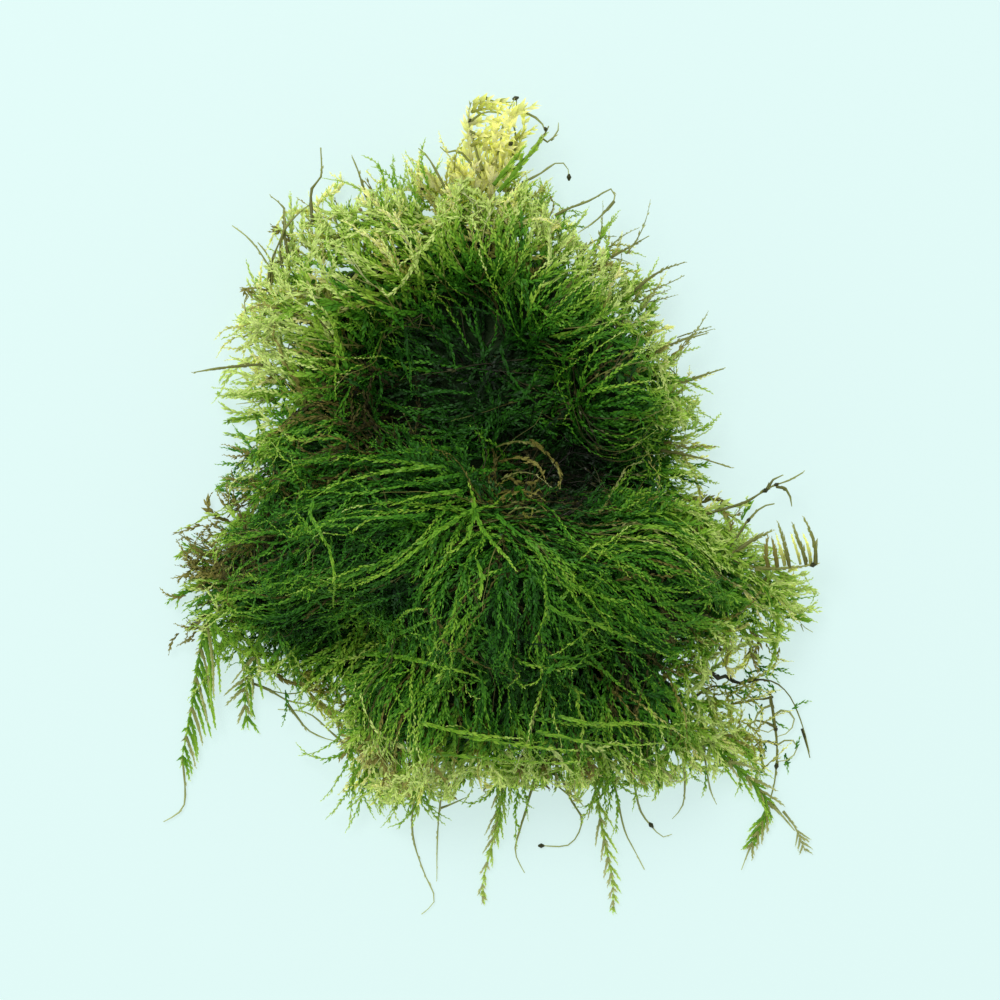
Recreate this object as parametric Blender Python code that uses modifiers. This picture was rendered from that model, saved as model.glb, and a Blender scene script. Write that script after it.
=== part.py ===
"""Moss clump: a tangle of branching water moss, lying on a flat surface.

The clump is one interwoven cushion, a ring of shoots around a hollow with a high roll in front of it. A pale
tuft stands at its top end, and fronds, shoots, bare stems and strands leave it singly all round.
Axes: +X to the right and +Y to the top end as seen from above, +Z up. The origin is under the middle of the
clump, on the surface that it lies on. Routes and outlines are in millimetres, all else in metres.
"""

import math
import random

import bmesh
import bpy
from mathutils import Vector
from mathutils.bvhtree import BVHTree

MM = 0.001

# Driving dimensions of the cushion.
CREST = 31 * MM  # height of the tallest lobe
LOBE_SEAT = 0.3  # a lobe is widest at this share of its height
RIM_HEIGHT = 5.8 * MM  # height of the cushion's rim
RIM_ROUND = 2.5 * MM
BURIED = 3 * MM  # how far the cushion is modelled below ground before it is cut flat
BASE_VOXEL = 1.3 * MM
BASE_SOFTNESS = 9  # smoothing passes that melt the lobes into each other

# The locks: bundles of shoots combed outward over the cushion, and those that leave its rim.
LOCK_ROOT = 2.1 * MM  # radius
LOCK_TIP = 0.3 * MM
CROWN_LOCKS = 62  # seeds laid around a whorl, of which those on its own part of the cushion grow
CROWN_SPACING = 5.3 * MM
CROWN_STRIDE = 2.6 * MM
CROWN_STRIDES = 5
CROWN_LIFT = 1.7 * MM  # how far a lock's end stands off the cushion
CROWN_FREE_END = 3.2 * MM
RIM_LOCKS = 54
RIM_LOCK_ROOTED = 2.5 * MM  # how far inside the rim its root lies
RIM_LOCK_REACH = (2.8, 5.4)  # how far outside the rim its tip lies, least and most, in millimetres
RIM_LOCK_HEIGHTS = (1.3, 4.1, 2.6)  # in millimetres, taken in turn
LEAN_TO_COMBING = 0.7  # how far a rim lock leans from straight out to the way of the combing
LOCK_SWAY = 0.25  # how far to the side a rim lock's tip may lie, as a share of its reach
LOCK_CLEAR = 2.2 * MM  # no lock's free end comes this close to a single shoot's line
FUSING_VOXEL = 0.65 * MM
KEPT_FACES = 0.06  # share of the fused faces that the cushion keeps
SEED = 12

# The single shoots.
GAP = 0.3 * MM  # between a shoot and the cushion that it grows out of
GROUND_CLEARANCE = 0.02 * MM
LEAFY = 0.55 * MM  # radius of a leafy shoot, leaves included
BARE = 0.32 * MM  # radius of a bare stem
FROND_AXIS = 0.5 * MM
FROND_SHOOT = 0.46 * MM
TUFT_SHOOT = 0.85 * MM
TUFT_RISE = 0.5 * MM  # how far the middle of a tuft's shoot stands above a straight line
TAPER = 0.55  # a tip's radius is this share of its root's
SAMPLES = 3  # stretches of tube between two points of a route
FROND_SAMPLES = 2
HALVINGS = 8  # that find where a route leaves the cushion

# The cushion's outline on the ground, from the top end and then to the left: x, y.
RIM = [
    (-4, 42), (-13, 40), (-22, 37.5), (-27.5, 32), (-30, 25.5), (-32, 18.5), (-31, 11), (-31.5, 4),
    (-35, -2), (-38, -8), (-37.5, -14), (-32, -18), (-24, -21.5), (-18, -26), (-17, -33), (-13.5, -38),
    (-6, -36.5), (6, -34.5), (18, -35), (28, -34.5), (33, -32), (29.5, -27.5), (25, -22.5), (30, -17.5),
    (37.5, -15.5), (39, -10), (34, -7), (28.5, -1.5), (26, 6), (25, 14), (22.5, 21), (18, 28.5),
    (11.5, 34.5), (4.5, 39.5),
]

# The cushion's lobes: centre x, y, half widths along x and y, height.
LOBES = {
    "hollow_floor": (-1, 17, 17, 14, 10.5),
    "upper_left": (-20.5, 22, 8, 12, 17),
    "upper_end_left": (-13, 30.5, 9.5, 7.5, 18),
    "upper_end": (-0.5, 31.5, 10.5, 6.5, 18),
    "upper_right": (9.5, 24.5, 8.5, 7.5, 19.5),
    "right_of_hollow": (15.5, 15, 7, 10.5, 19.5),
    "waist_left": (-20, 6, 8, 9, 17.5),
    "shoulder_left": (-25, -9, 8.5, 8, 18.5),
    "roll_left": (-11, -4.5, 15, 10.5, 27),
    "roll_middle": (3, -11, 16, 13, CREST / MM),
    "roll_right": (17, -10, 13, 11.5, 26),
    "shoulder_right": (28.5, -12, 7.5, 6, 14.5),
    "skirt_left": (-7.5, -26, 9.5, 9, 20),
    "skirt_middle": (6, -26, 12, 8.5, 22),
    "skirt_right": (19, -25.5, 8.5, 8, 18),
}
# Where the shoots of the upper and of the lower part fan out from, and the line between the two parts.
UPPER_WHORL = Vector((-1, 19)) * MM
LOWER_WHORL = Vector((1, -1)) * MM
PARTING = 4 * MM

# Leafy shoots, root first: x, y, z. The root lies inside the cushion.
SHOOTS = {
    "shoot_top_green": [(2.4, 39.4, 8), (3, 42.3, 6.9), (4.8, 45.1, 6), (6.2, 46.9, 5.5), (7.5, 48.1, 5)],
    "shoot_right_fan_1": [(13, 30, 9), (17.5, 32.6, 7), (20.6, 34.4, 5)],
    "shoot_right_fan_2": [(17, 26, 9), (21.5, 29.6, 7), (25.2, 31.1, 5)],
    "shoot_right_fan_3": [(20, 19, 11), (24.8, 21, 9), (29.4, 22.3, 6)],
    "shoot_right_fan_4": [(20, 14, 9), (26.5, 16.2, 7), (30.2, 17.4, 5)],
    "shoot_right_fan_5": [(19, 7.4, 7), (26, 6.2, 6.4), (31, 4.6, 6)],
    "shoot_left_spike": [(-28, 18, 8), (-34.8, 17.5, 6), (-38, 17, 5)],
    "shoot_upper_left_1": [(-22.4, 36, 9), (-22.6, 40.1, 8), (-21.4, 42, 7), (-21.6, 45.8, 5)],
    "shoot_upper_left_2": [(-14.6, 36, 9), (-16, 40.2, 7), (-16.7, 42.4, 6), (-17.6, 44.6, 5)],
    "shoot_upper_left_3": [(-25.4, 31, 9), (-26.2, 35.6, 7), (-26.2, 37.7, 6.5), (-28, 39.4, 6)],
    "shoot_right_thick": [(36.6, -12, 8), (37, -15.5, 7), (36.8, -19, 5), (35.9, -22.2, 3)],
}

# Bare stems, root first.
STEMS = {
    "stem_top_curl": [(4.8, 38.6, 8), (6.6, 41.9, 7), (8.5, 43.6, 6.5), (10.2, 43.3, 6), (10.4, 41.6, 5.5)],
    "stem_top_hook": [(6, 35.6, 9), (10, 37.6, 7.5), (15.8, 40.4, 6), (16.2, 39, 6), (15.4, 37.8, 6.2)],
    "stem_upper_left_curl": [(-26, 27, 8), (-28.6, 31.3, 7), (-30.7, 33.9, 6), (-33, 35.8, 5)],
    "stem_forked_right": [(24, -2, 8), (29.1, -1, 6), (34.5, 1, 5.2), (37.5, 2.3, 4.6), (40.6, 4.2, 4)],
    "stem_right_upper": [(31, -9, 8), (32.4, -5.8, 5), (33.2, -3.6, 4.6), (34.3, -1.9, 4.2), (35.8, -1, 4)],
    "stem_dark_arch": [
        (24, -20, 5), (28.9, -22.7, 3.4), (34.5, -23.2, 1.4), (38.5, -24.6, 0.8), (40.8, -29.2, 0.5),
        (42, -32.9, 0.4),
    ],
    "stem_dark_drop": [(36.3, -25.2, 1), (37, -27.8, 0.8), (37.6, -31.2, 0.5), (37.1, -37, 0.4)],
    "stem_left_low": [(-18, -20, 5), (-21.4, -22.6, 2.5), (-25.4, -24.6, 1), (-29.6, -23.8, 0.5)],
    "stem_left_looped": [(-14, -33, 4), (-19.2, -30.6, 1), (-23.4, -27.2, 0.5), (-27.4, -26.6, 0.4)],
    "strand_bottom_1": [
        (-9.4, -36, 5), (-9.9, -42.6, 1), (-8.6, -47.5, 0.5), (-7.1, -51.2, 0.4), (-8.8, -53.2, 0.4),
    ],
    "strand_bottom_2": [(-5.6, -32, 5), (-6.6, -41.9, 0.8), (-6.8, -48.7, 0.4)],
    "strand_bottom_4": [
        (6.8, -32, 5), (4.9, -39, 1.6), (3.9, -42.7, 0.6), (3.5, -45.3, 0.4), (4.7, -47.8, 0.4),
    ],
    "strand_bottom_5": [
        (8, -32, 5), (10.6, -38.2, 1.6), (12.1, -41, 0.6), (10.4, -44.2, 0.4), (6.8, -44.3, 0.4),
    ],
    "strand_bottom_7": [(15.6, -33, 5), (17.4, -41.4, 1), (18.9, -44.9, 0.5), (20.1, -47.4, 0.4)],
    "strand_bottom_8": [
        (18, -32, 5), (19.4, -39, 1.2), (21, -41.6, 0.6), (22.6, -43.2, 0.4), (23.8, -42.9, 0.4),
    ],
    "strand_bottom_9": [(25, -32, 4), (25.3, -38.4, 0.8), (23.8, -40.9, 0.4)],
    "strand_bottom_10": [(27.6, -31, 4), (28.6, -36.6, 1), (29.6, -39, 0.4)],
}

# Fronds: an axis, root first, with side shoots in one plane, like a feather.
FRONDS = {
    "frond_left_trailing": {
        "axis": [
            (-35.5, -13, 7), (-37.4, -19.5, 3), (-38.6, -26.8, 1.2), (-39.9, -33, 0.7), (-39.5, -39, 0.5),
            (-42.2, -41.2, 0.5),
        ],
        "shoots": 7, "first": 8.0, "last": 3.4, "lean": 27, "sides": (1,), "reach": (0.1, 0.66),
    },
    "frond_left_inner": {
        "axis": [(-29, -16, 7), (-30.4, -21.4, 2.6), (-31.6, -24.4, 1.2), (-31.2, -29, 0.6)],
        "shoots": 3, "first": 4.2, "last": 3.0, "lean": 34, "sides": (1,), "reach": (0.2, 0.7),
    },
    "frond_right_comb": {
        "axis": [(31, -9, 9), (35.4, -6.8, 8.4), (38.8, -6.6, 7.8), (42.2, -7, 7)],
        "shoots": 4, "first": 3.4, "last": 5.4, "lean": 103, "sides": (1,), "reach": (0.2, 0.92),
    },
    "frond_right_low": {
        "axis": [(27, -30, 5), (32.9, -34.8, 2.5), (36.1, -38.6, 1), (35.4, -41.4, 0.8), (32.7, -47.5, 0.5)],
        "shoots": 6, "first": 3.4, "last": 1.6, "lean": 30, "sides": (-1, 1), "reach": (0.25, 0.8),
    },
    "strand_bottom_3": {
        "axis": [(2.2, -32, 6), (1.4, -39, 2), (0.8, -42.7, 1), (-0.8, -48.9, 0.5), (-0.6, -51.8, 0.5)],
        "shoots": 5, "first": 3.2, "last": 1.5, "lean": 30, "sides": (1, -1), "reach": (0.12, 0.8),
    },
    "strand_bottom_6": {
        "axis": [(13, -32, 6), (14.4, -40.3, 2), (15.4, -45.6, 0.8), (16.1, -49.7, 0.6), (16.1, -53.2, 0.5)],
        "shoots": 6, "first": 3.2, "last": 1.6, "lean": 36, "sides": (1, -1), "reach": (0.1, 0.85),
    },
    "sprig_lower_right": {
        "axis": [(38.2, -39.8, 0.7), (39.6, -41.6, 0.5), (40.3, -43, 0.5), (41, -45, 0.5)],
        "shoots": 3, "first": 1.9, "last": 1.3, "lean": 50, "sides": (1, -1), "reach": (0.5, 0.9),
    },
}

# The pale tuft of dead shoots: its root's route and the tips that fan out from it.
TUFT_NECK = [(0, 37.5, 8), (0.3, 42, 7), (0.4, 47, 5.6)]
TUFT_TIPS = [
    (-3.2, 46.6, 4), (-2.8, 50.2, 3), (-1.6, 53.2, 4), (-0.2, 52.2, 6.4),
    (3.4, 53, 5), (3.6, 50.4, 7), (6.4, 49.2, 6),
]

# Linear colours.
GREEN = (0.045, 0.115, 0.018)
BRIGHT_GREEN = (0.16, 0.27, 0.04)
STRAW = (0.48, 0.46, 0.16)
DARK_STEM = (0.028, 0.030, 0.016)


def clear_scene():
    """Removes what the scene holds."""
    for obj in list(bpy.data.objects):
        bpy.data.objects.remove(obj)


def collection(name):
    """A new collection in the scene."""
    made = bpy.data.collections.new(name)
    bpy.context.scene.collection.children.link(made)
    return made


def material(name, colour, roughness):
    """A Principled material of one colour."""
    made = bpy.data.materials.new(name)
    made.use_nodes = True
    shader = made.node_tree.nodes["Principled BSDF"]
    shader.inputs["Base Color"].default_value = (*colour, 1.0)
    shader.inputs["Roughness"].default_value = roughness
    shader.inputs["Metallic"].default_value = 0.0
    return made


def spline_point(a, b, c, d, t):
    """A point of the Catmull-Rom stretch from b to c."""
    return 0.5 * (2 * b + (c - a) * t + (2 * a - 5 * b + 4 * c - d) * t**2 + (3 * b - a - 3 * c + d) * t**3)


def smooth_route(points, samples=SAMPLES):
    """A smooth open line, in metres, through points in millimetres."""
    points = [Vector(p) * MM for p in points]
    ends = [2 * points[0] - points[1], *points, 2 * points[-1] - points[-2]]
    stretches = range(len(points) - 1)
    route = [spline_point(*ends[i : i + 4], k / samples) for i in stretches for k in range(samples)]
    return [*route, points[-1]]


def smooth_loop(points, samples):
    """A smooth closed line, in metres, through points in millimetres."""
    points = [Vector(p) * MM for p in points]
    count = len(points)
    return [
        spline_point(*(points[(i + k) % count] for k in range(-1, 3)), j / samples)
        for i in range(count)
        for j in range(samples)
    ]


def evaluated_mesh(obj):
    """An object's mesh with its modifiers, or its curve, worked out."""
    graph = bpy.context.evaluated_depsgraph_get()
    return bpy.data.meshes.new_from_object(obj.evaluated_get(graph))


def welded(curve_object):
    """Replaces a curve object by a mesh object whose caps are joined to its sides."""
    mesh = evaluated_mesh(curve_object)
    name, owner = curve_object.name, curve_object.users_collection[0]
    bpy.data.objects.remove(curve_object)
    bm = bmesh.new()
    bm.from_mesh(mesh)
    bmesh.ops.remove_doubles(bm, verts=bm.verts, dist=0.001 * MM)
    bmesh.ops.recalc_face_normals(bm, faces=bm.faces)
    bm.to_mesh(mesh)
    bm.free()
    made = bpy.data.objects.new(name, mesh)
    owner.objects.link(made)
    return made


def tube(name, route, radius, tip_share, into, sides=6):
    """A tapered tube along a route, closed at both ends and lifted clear of the ground."""
    curve = bpy.data.curves.new(name, "CURVE")
    curve.dimensions = "3D"
    curve.bevel_depth = radius
    curve.bevel_resolution = sides // 2 - 2
    curve.use_fill_caps = True
    spline = curve.splines.new("POLY")
    spline.points.add(len(route) - 1)
    for i, (point, place) in enumerate(zip(spline.points, route, strict=True)):
        share = 1 + (tip_share - 1) * i / (len(route) - 1)
        height = max(place.z, radius * share + GROUND_CLEARANCE)
        point.co = (place.x, place.y, height, 1.0)
        point.radius = share
    made = bpy.data.objects.new(name, curve)
    into.objects.link(made)
    return welded(made)


def fused(parts):
    """One body from meshes that overlap, under the name of the first."""
    body, *others = parts
    for other in others:
        join = body.modifiers.new("join", "BOOLEAN")
        join.operation = "UNION"
        join.object = other
    mesh = evaluated_mesh(body)
    body.modifiers.clear()
    body.data = mesh
    for other in others:
        bpy.data.objects.remove(other)
    return body


def rim_slab(into):
    """The low slab with a round edge that gives the cushion its outline."""
    curve = bpy.data.curves.new("rim", "CURVE")
    curve.dimensions = "2D"
    curve.fill_mode = "BOTH"
    curve.extrude = (RIM_HEIGHT + BURIED) / 2 - RIM_ROUND
    curve.bevel_depth = RIM_ROUND
    curve.bevel_resolution = 3
    curve.offset = -RIM_ROUND
    spline = curve.splines.new("POLY")
    outline = smooth_loop(RIM, SAMPLES)
    spline.points.add(len(outline) - 1)
    for point, place in zip(spline.points, outline, strict=True):
        point.co = (place.x, place.y, 0.0, 1.0)
    spline.use_cyclic_u = True
    made = bpy.data.objects.new("rim", curve)
    into.objects.link(made)
    return welded(made)


def base(into):
    """The cushion without its locks: the slab and the lobes, melted into each other."""
    slab = rim_slab(into)
    bm = bmesh.new()
    bm.from_mesh(slab.data)
    bmesh.ops.translate(bm, verts=bm.verts, vec=(0, 0, (RIM_HEIGHT - BURIED) / 2))
    bpy.data.objects.remove(slab)
    for x, y, half_x, half_y, height in LOBES.values():
        centre = Vector((x, y, LOBE_SEAT * height)) * MM
        radii = Vector((half_x, half_y, (1 - LOBE_SEAT) * height)) * MM
        lobe = bmesh.ops.create_icosphere(bm, subdivisions=4, radius=1.0)
        for vert in lobe["verts"]:
            vert.co = centre + radii * vert.co
    mesh = bpy.data.meshes.new("moss_cushion")
    bm.to_mesh(mesh)
    bm.free()
    made = bpy.data.objects.new("moss_cushion", mesh)
    into.objects.link(made)
    fuse = made.modifiers.new("fuse", "REMESH")
    fuse.mode = "VOXEL"
    fuse.voxel_size = BASE_VOXEL
    melt = made.modifiers.new("melt", "SMOOTH")
    melt.iterations = BASE_SOFTNESS
    made.data = evaluated_mesh(made)
    made.modifiers.clear()
    return made


def surface_of(obj):
    """A search tree of an object's surface."""
    bm = bmesh.new()
    bm.from_mesh(evaluated_mesh(obj))
    tree = BVHTree.FromBMesh(bm)
    bm.free()
    return tree


def combed(place):
    """The level direction in which the shoots lie at a place."""
    whorl = UPPER_WHORL if place.y > PARTING else LOWER_WHORL
    away = Vector((place.x, place.y)) - whorl
    return Vector((away.x, away.y, 0)).normalized()


def crown_lock_route(tree, x, y):
    """The line of one lock over the cushion along its combing, with a free end. None beside the cushion."""
    place, normal, _, _ = tree.ray_cast(Vector((x, y, 2 * CREST)), Vector((0, 0, -1)))
    if place is None or place.z < RIM_HEIGHT / 2:
        return None
    heading = combed(place)
    route = [place - normal * CROWN_LIFT / 2]
    for k in range(CROWN_STRIDES):
        along = (heading - heading.project(normal)).normalized()
        place, normal, _, _ = tree.find_nearest(place + along * CROWN_STRIDE)
        route.append(place + normal * CROWN_LIFT * (k + 1) / CROWN_STRIDES)
        heading = (along + 0.5 * combed(place)).normalized()
    return [*route, route[-1] + heading * CROWN_FREE_END]


def single_lines():
    """Places along the lines of all shoots, stems and fronds that leave the cushion singly."""
    lines = [plan["axis"] for plan in FRONDS.values()] + [*SHOOTS.values(), *STEMS.values(), TUFT_NECK]
    return [place for line in lines for place in smooth_route(line)]


def crown_lock_routes(tree, taken, rng):
    """The locks on top, placed like the seeds of a sunflower around each of the two whorls."""
    turn = math.pi * (3 - math.sqrt(5))
    routes = []
    for whorl, above in ((UPPER_WHORL, True), (LOWER_WHORL, False)):
        for k in range(1, CROWN_LOCKS):
            reach = CROWN_SPACING * math.sqrt(k)
            angle = k * turn + rng.uniform(-0.15, 0.15)
            x = whorl.x + reach * math.cos(angle)
            y = whorl.y + reach * math.sin(angle)
            route = crown_lock_route(tree, x, y) if (y > PARTING) == above else None
            if route and min((mine - place).length for mine in route[-3:] for place in taken) > LOCK_CLEAR:
                routes.append(route)
    return routes


def rim_lock_routes(taken, rng):
    """The locks that leave the rim, evenly spaced round it, leaning the way that the cushion is combed."""
    outline = smooth_loop(RIM, 6 * SAMPLES)
    paces = [0.0]
    for here, ahead in zip(outline, outline[1:] + outline[:1], strict=True):
        paces.append(paces[-1] + (ahead - here).length)
    routes = []
    for k in range(RIM_LOCKS):
        i = next(i for i, pace in enumerate(paces) if pace >= paces[-1] * k / RIM_LOCKS) % len(outline)
        run = outline[(i + 1) % len(outline)] - outline[i - 1]
        outward = Vector((run.y, -run.x, 0)).normalized()
        way = (outward + LEAN_TO_COMBING * combed(outline[i])).normalized()
        height = RIM_LOCK_HEIGHTS[k % len(RIM_LOCK_HEIGHTS)] * MM
        root = Vector((outline[i].x, outline[i].y, height))
        reach = rng.uniform(*RIM_LOCK_REACH) * MM
        sway = Vector((-way.y, way.x, 0)) * rng.uniform(-LOCK_SWAY, LOCK_SWAY) * reach
        free_end = [root + way * reach / 2 + sway / 3, root + way * reach + sway]
        if min((mine - place).length for mine in free_end for place in taken) > LOCK_CLEAR:
            routes.append([root - way * RIM_LOCK_ROOTED, root, *free_end])
    return routes


def locks(tree, into):
    """All locks, as tubes."""
    rng = random.Random(SEED)
    taken = single_lines()
    routes = crown_lock_routes(tree, taken, rng) + rim_lock_routes(taken, rng)
    return [tube("lock", route, LOCK_ROOT, LOCK_TIP / LOCK_ROOT, into) for route in routes]


def ground_cutter(into):
    """The block that cuts the cushion flat where it lies."""
    size = 200 * MM
    bm = bmesh.new()
    bmesh.ops.create_cube(bm, size=size)
    bmesh.ops.translate(bm, verts=bm.verts, vec=(0, 0, -size / 2))
    mesh = bpy.data.meshes.new("ground_cutter")
    bm.to_mesh(mesh)
    bm.free()
    made = bpy.data.objects.new("ground_cutter", mesh)
    made.hide_render = True
    made.display_type = "WIRE"
    into.objects.link(made)
    return made


def cushion(into, helpers):
    """The interwoven cushion: base and locks fused on a fine grid, thinned, and cut flat where it lies."""
    made = base(into)
    bm = bmesh.new()
    bm.from_mesh(made.data)
    for lock in locks(surface_of(made), helpers):
        bm.from_mesh(lock.data)
        bpy.data.objects.remove(lock)
    bm.to_mesh(made.data)
    bm.free()
    fuse = made.modifiers.new("fuse", "REMESH")
    fuse.mode = "VOXEL"
    fuse.voxel_size = FUSING_VOXEL
    thin = made.modifiers.new("thin", "DECIMATE")
    thin.ratio = KEPT_FACES
    cut = made.modifiers.new("flat_underside", "BOOLEAN")
    cut.operation = "DIFFERENCE"
    cut.object = ground_cutter(helpers)
    return made


def clearance(tree, place):
    """How far a place is outside the cushion, or 0 inside it."""
    up = Vector((0, 0, 1))  # a line straight up from inside crosses the surface an odd number of times
    crossings = 0
    hit = tree.ray_cast(place, up)[0]
    while hit is not None:
        crossings += 1
        hit = tree.ray_cast(hit + up * 0.001 * MM, up)[0]
    return 0.0 if crossings % 2 else tree.find_nearest(place)[3]


def last_clear(tree, blocked, free, distance):
    """The place between a blocked and a free place that only just keeps the distance to the cushion."""
    for _ in range(HALVINGS):
        middle = blocked.lerp(free, 0.5)
        if clearance(tree, middle) < distance:
            blocked = middle
        else:
            free = middle
    return free


def free_stretch(name, tree, route, radius):
    """The part of a route, up to its tip, that is outside the cushion with the gap between."""
    free = []
    for place in reversed(route):
        if clearance(tree, place) < radius + GAP:
            root = last_clear(tree, place, free[-1], radius + GAP) if free else place
            if free and (root - free[-1]).length > GAP:
                free.append(root)
            break
        free.append(place)
    if len(free) < 3:
        raise ValueError(f"{name} hardly leaves the cushion")
    return free[::-1]


def single(name, points, radius, sides, tree, into):
    """A shoot or stem that leaves the cushion alone."""
    route = free_stretch(name, tree, smooth_route(points), radius)
    return tube(name, route, radius, TAPER, into, sides)


def turned(way, degrees):
    """A level direction, turned to the left."""
    angle = math.radians(degrees)
    flat = Vector((way.x, way.y, 0)).normalized()
    return Vector(
        (
            flat.x * math.cos(angle) - flat.y * math.sin(angle),
            flat.x * math.sin(angle) + flat.y * math.cos(angle),
            0,
        )
    )


def frond(name, plan, tree, into, helpers):
    """An axis with side shoots that lean towards its tip."""
    axis = free_stretch(name, tree, smooth_route(plan["axis"], FROND_SAMPLES), FROND_AXIS)
    parts = [tube(name, axis, FROND_AXIS, TAPER, into, sides=4)]
    low, high = plan["reach"]
    for k in range(plan["shoots"]):
        share = k / (plan["shoots"] - 1)
        at = (low + (high - low) * share) * (len(axis) - 1)
        i = int(at)
        start = axis[i].lerp(axis[i + 1], at - i)
        way = turned(axis[i + 1] - axis[i], plan["lean"] * plan["sides"][k % len(plan["sides"])])
        length = (plan["first"] + (plan["last"] - plan["first"]) * share) * MM
        route = [start, start + way * length / 2, start + way * length]
        if all(clearance(tree, place) > FROND_SHOOT + GAP for place in route):
            parts.append(tube(f"{name}_side_{k}", route, FROND_SHOOT, TAPER, helpers, sides=4))
    return fused(parts)


def pale_tuft(tree, into, helpers):
    """The tuft of dead, straw-coloured shoots at the top end, on one root."""
    root = free_stretch("pale_tuft", tree, smooth_route(TUFT_NECK), TUFT_SHOOT)
    parts = [tube("pale_tuft", root, TUFT_SHOOT, 1.0, into)]
    for k, tip in enumerate(TUFT_TIPS):
        end = Vector(tip) * MM
        middle = root[-2].lerp(end, 0.5) + Vector((0, 0, TUFT_RISE))
        parts.append(tube(f"tuft_shoot_{k}", [root[-2], middle, end], TUFT_SHOOT, TAPER, helpers, sides=4))
    return fused(parts)


def dress(obj, finish):
    """Gives a piece its material and smooth shading."""
    obj.data.materials.clear()
    obj.data.materials.append(finish)
    obj.data.shade_smooth()


def build():
    """Models the clump."""
    clear_scene()
    clump = collection("moss_clump")
    helpers = collection("cutters")
    green = material("moss_green", GREEN, 0.55)
    bright = material("shoot_green", BRIGHT_GREEN, 0.5)
    straw = material("pale_straw", STRAW, 0.6)
    dark = material("bare_stem", DARK_STEM, 0.6)

    body = cushion(clump, helpers)
    dress(body, green)
    tree = surface_of(body)
    dress(pale_tuft(tree, clump, helpers), straw)
    for name, points in SHOOTS.items():
        dress(single(name, points, LEAFY, 6, tree, clump), bright)
    for name, points in STEMS.items():
        dress(single(name, points, BARE, 4, tree, clump), dark)
    for name, plan in FRONDS.items():
        dress(frond(name, plan, tree, clump, helpers), bright)


if __name__ == "__main__":
    build()
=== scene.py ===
"""Moss clump: the looks of a handful of branching water moss that lies on a flat surface.

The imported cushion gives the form. Shoots are laid over it along the way that the clump is combed, and one
node tree turns every line into a stem with side shoots and folded leaves. What leaves the cushion singly
has a piece of its own on the same line as its solid. Lengths are in metres unless a name ends in _mm.
"""

import logging
import math
import random
from collections.abc import Callable, Iterable, Iterator
from dataclasses import dataclass, field
from enum import IntEnum
from functools import partial
from itertools import product

import bmesh
import bpy
from mathutils import Matrix, Vector, noise
from mathutils.bvhtree import BVHTree
from mathutils.kdtree import KDTree


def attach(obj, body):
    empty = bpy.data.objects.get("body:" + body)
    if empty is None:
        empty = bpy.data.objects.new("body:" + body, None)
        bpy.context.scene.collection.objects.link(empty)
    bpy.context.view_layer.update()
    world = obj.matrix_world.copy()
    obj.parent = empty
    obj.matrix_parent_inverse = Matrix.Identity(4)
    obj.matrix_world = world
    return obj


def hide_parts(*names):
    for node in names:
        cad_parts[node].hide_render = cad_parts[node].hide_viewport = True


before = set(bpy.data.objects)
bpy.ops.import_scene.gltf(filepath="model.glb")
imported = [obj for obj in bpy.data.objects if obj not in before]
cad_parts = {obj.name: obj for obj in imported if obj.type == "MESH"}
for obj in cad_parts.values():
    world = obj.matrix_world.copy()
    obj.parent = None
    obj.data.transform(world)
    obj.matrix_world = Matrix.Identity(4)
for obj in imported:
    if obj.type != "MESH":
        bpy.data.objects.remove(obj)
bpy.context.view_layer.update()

Node = bpy.types.Node
Point = tuple[float, float, float]
Seat = tuple[Vector, Vector]  # a place on a surface, and the way that the surface faces there

MM = 0.001
UP = Vector((0, 0, 1))
CAD_REACH = 56 * MM  # no part of the object is further from its middle
BODY = "root"
ATLAS = "OFBake"  # the leaves' own map: which tone and kind a leaf has, and the place on it
TONES = 32  # columns of the atlas, from the darkest tone to the lightest
KINDS = 4  # rows of the atlas

# Kinds of node that are used often.
MATH = "ShaderNodeMath"
SPREAD = "ShaderNodeMapRange"
VECTOR = "ShaderNodeCombineXYZ"
STORE = "GeometryNodeStoreNamedAttribute"
RESAMPLE = "GeometryNodeResampleCurve"

log = logging.getLogger("moss_clump")


class Growth(IntEnum):
    """What a shoot is covered with, which is also its row in the atlas."""

    LIVING = 0
    BROWNED = 1
    BLEACHED = 2
    BARE = 3


def mm(*lengths: float) -> tuple[float, ...]:
    """Lengths in millimetres, in metres."""
    return tuple(length * MM for length in lengths)


# ---- nodes


def add_node(
    tree: bpy.types.NodeTree, kind: str, inputs: dict[str | int, object] | None = None, **settings: object
) -> Node:
    """Adds a node with its settings and links.

    Args:
        tree: The tree that gets the node.
        kind: The node's type.
        inputs: For each socket, by name or by place among those in use, a value, a socket, a node or a
            list of them.
        settings: The node's own options.

    Returns:
        The new node.
    """
    node = tree.nodes.new(kind)
    for option, value in settings.items():
        setattr(node, option, value)
    for key, value in (inputs or {}).items():
        in_use = [socket for socket in node.inputs if socket.enabled]
        socket = in_use[key] if isinstance(key, int) else next(one for one in in_use if one.name == key)
        for source in value if isinstance(value, list) else [value]:
            if isinstance(source, Node):
                source = next(out for out in source.outputs if out.enabled)
            if isinstance(source, bpy.types.NodeSocket):
                tree.links.new(source, socket)
            else:
                socket.default_value = source
    return node


def new_material(name: str) -> tuple[bpy.types.Material, Callable[..., Node]]:
    """Makes a material without nodes.

    Args:
        name: Its name.

    Returns:
        The material, and add_node for its tree.
    """
    made = bpy.data.materials.new(name)
    made.use_nodes = True
    made.node_tree.nodes.clear()
    return made, partial(add_node, made.node_tree)


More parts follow.
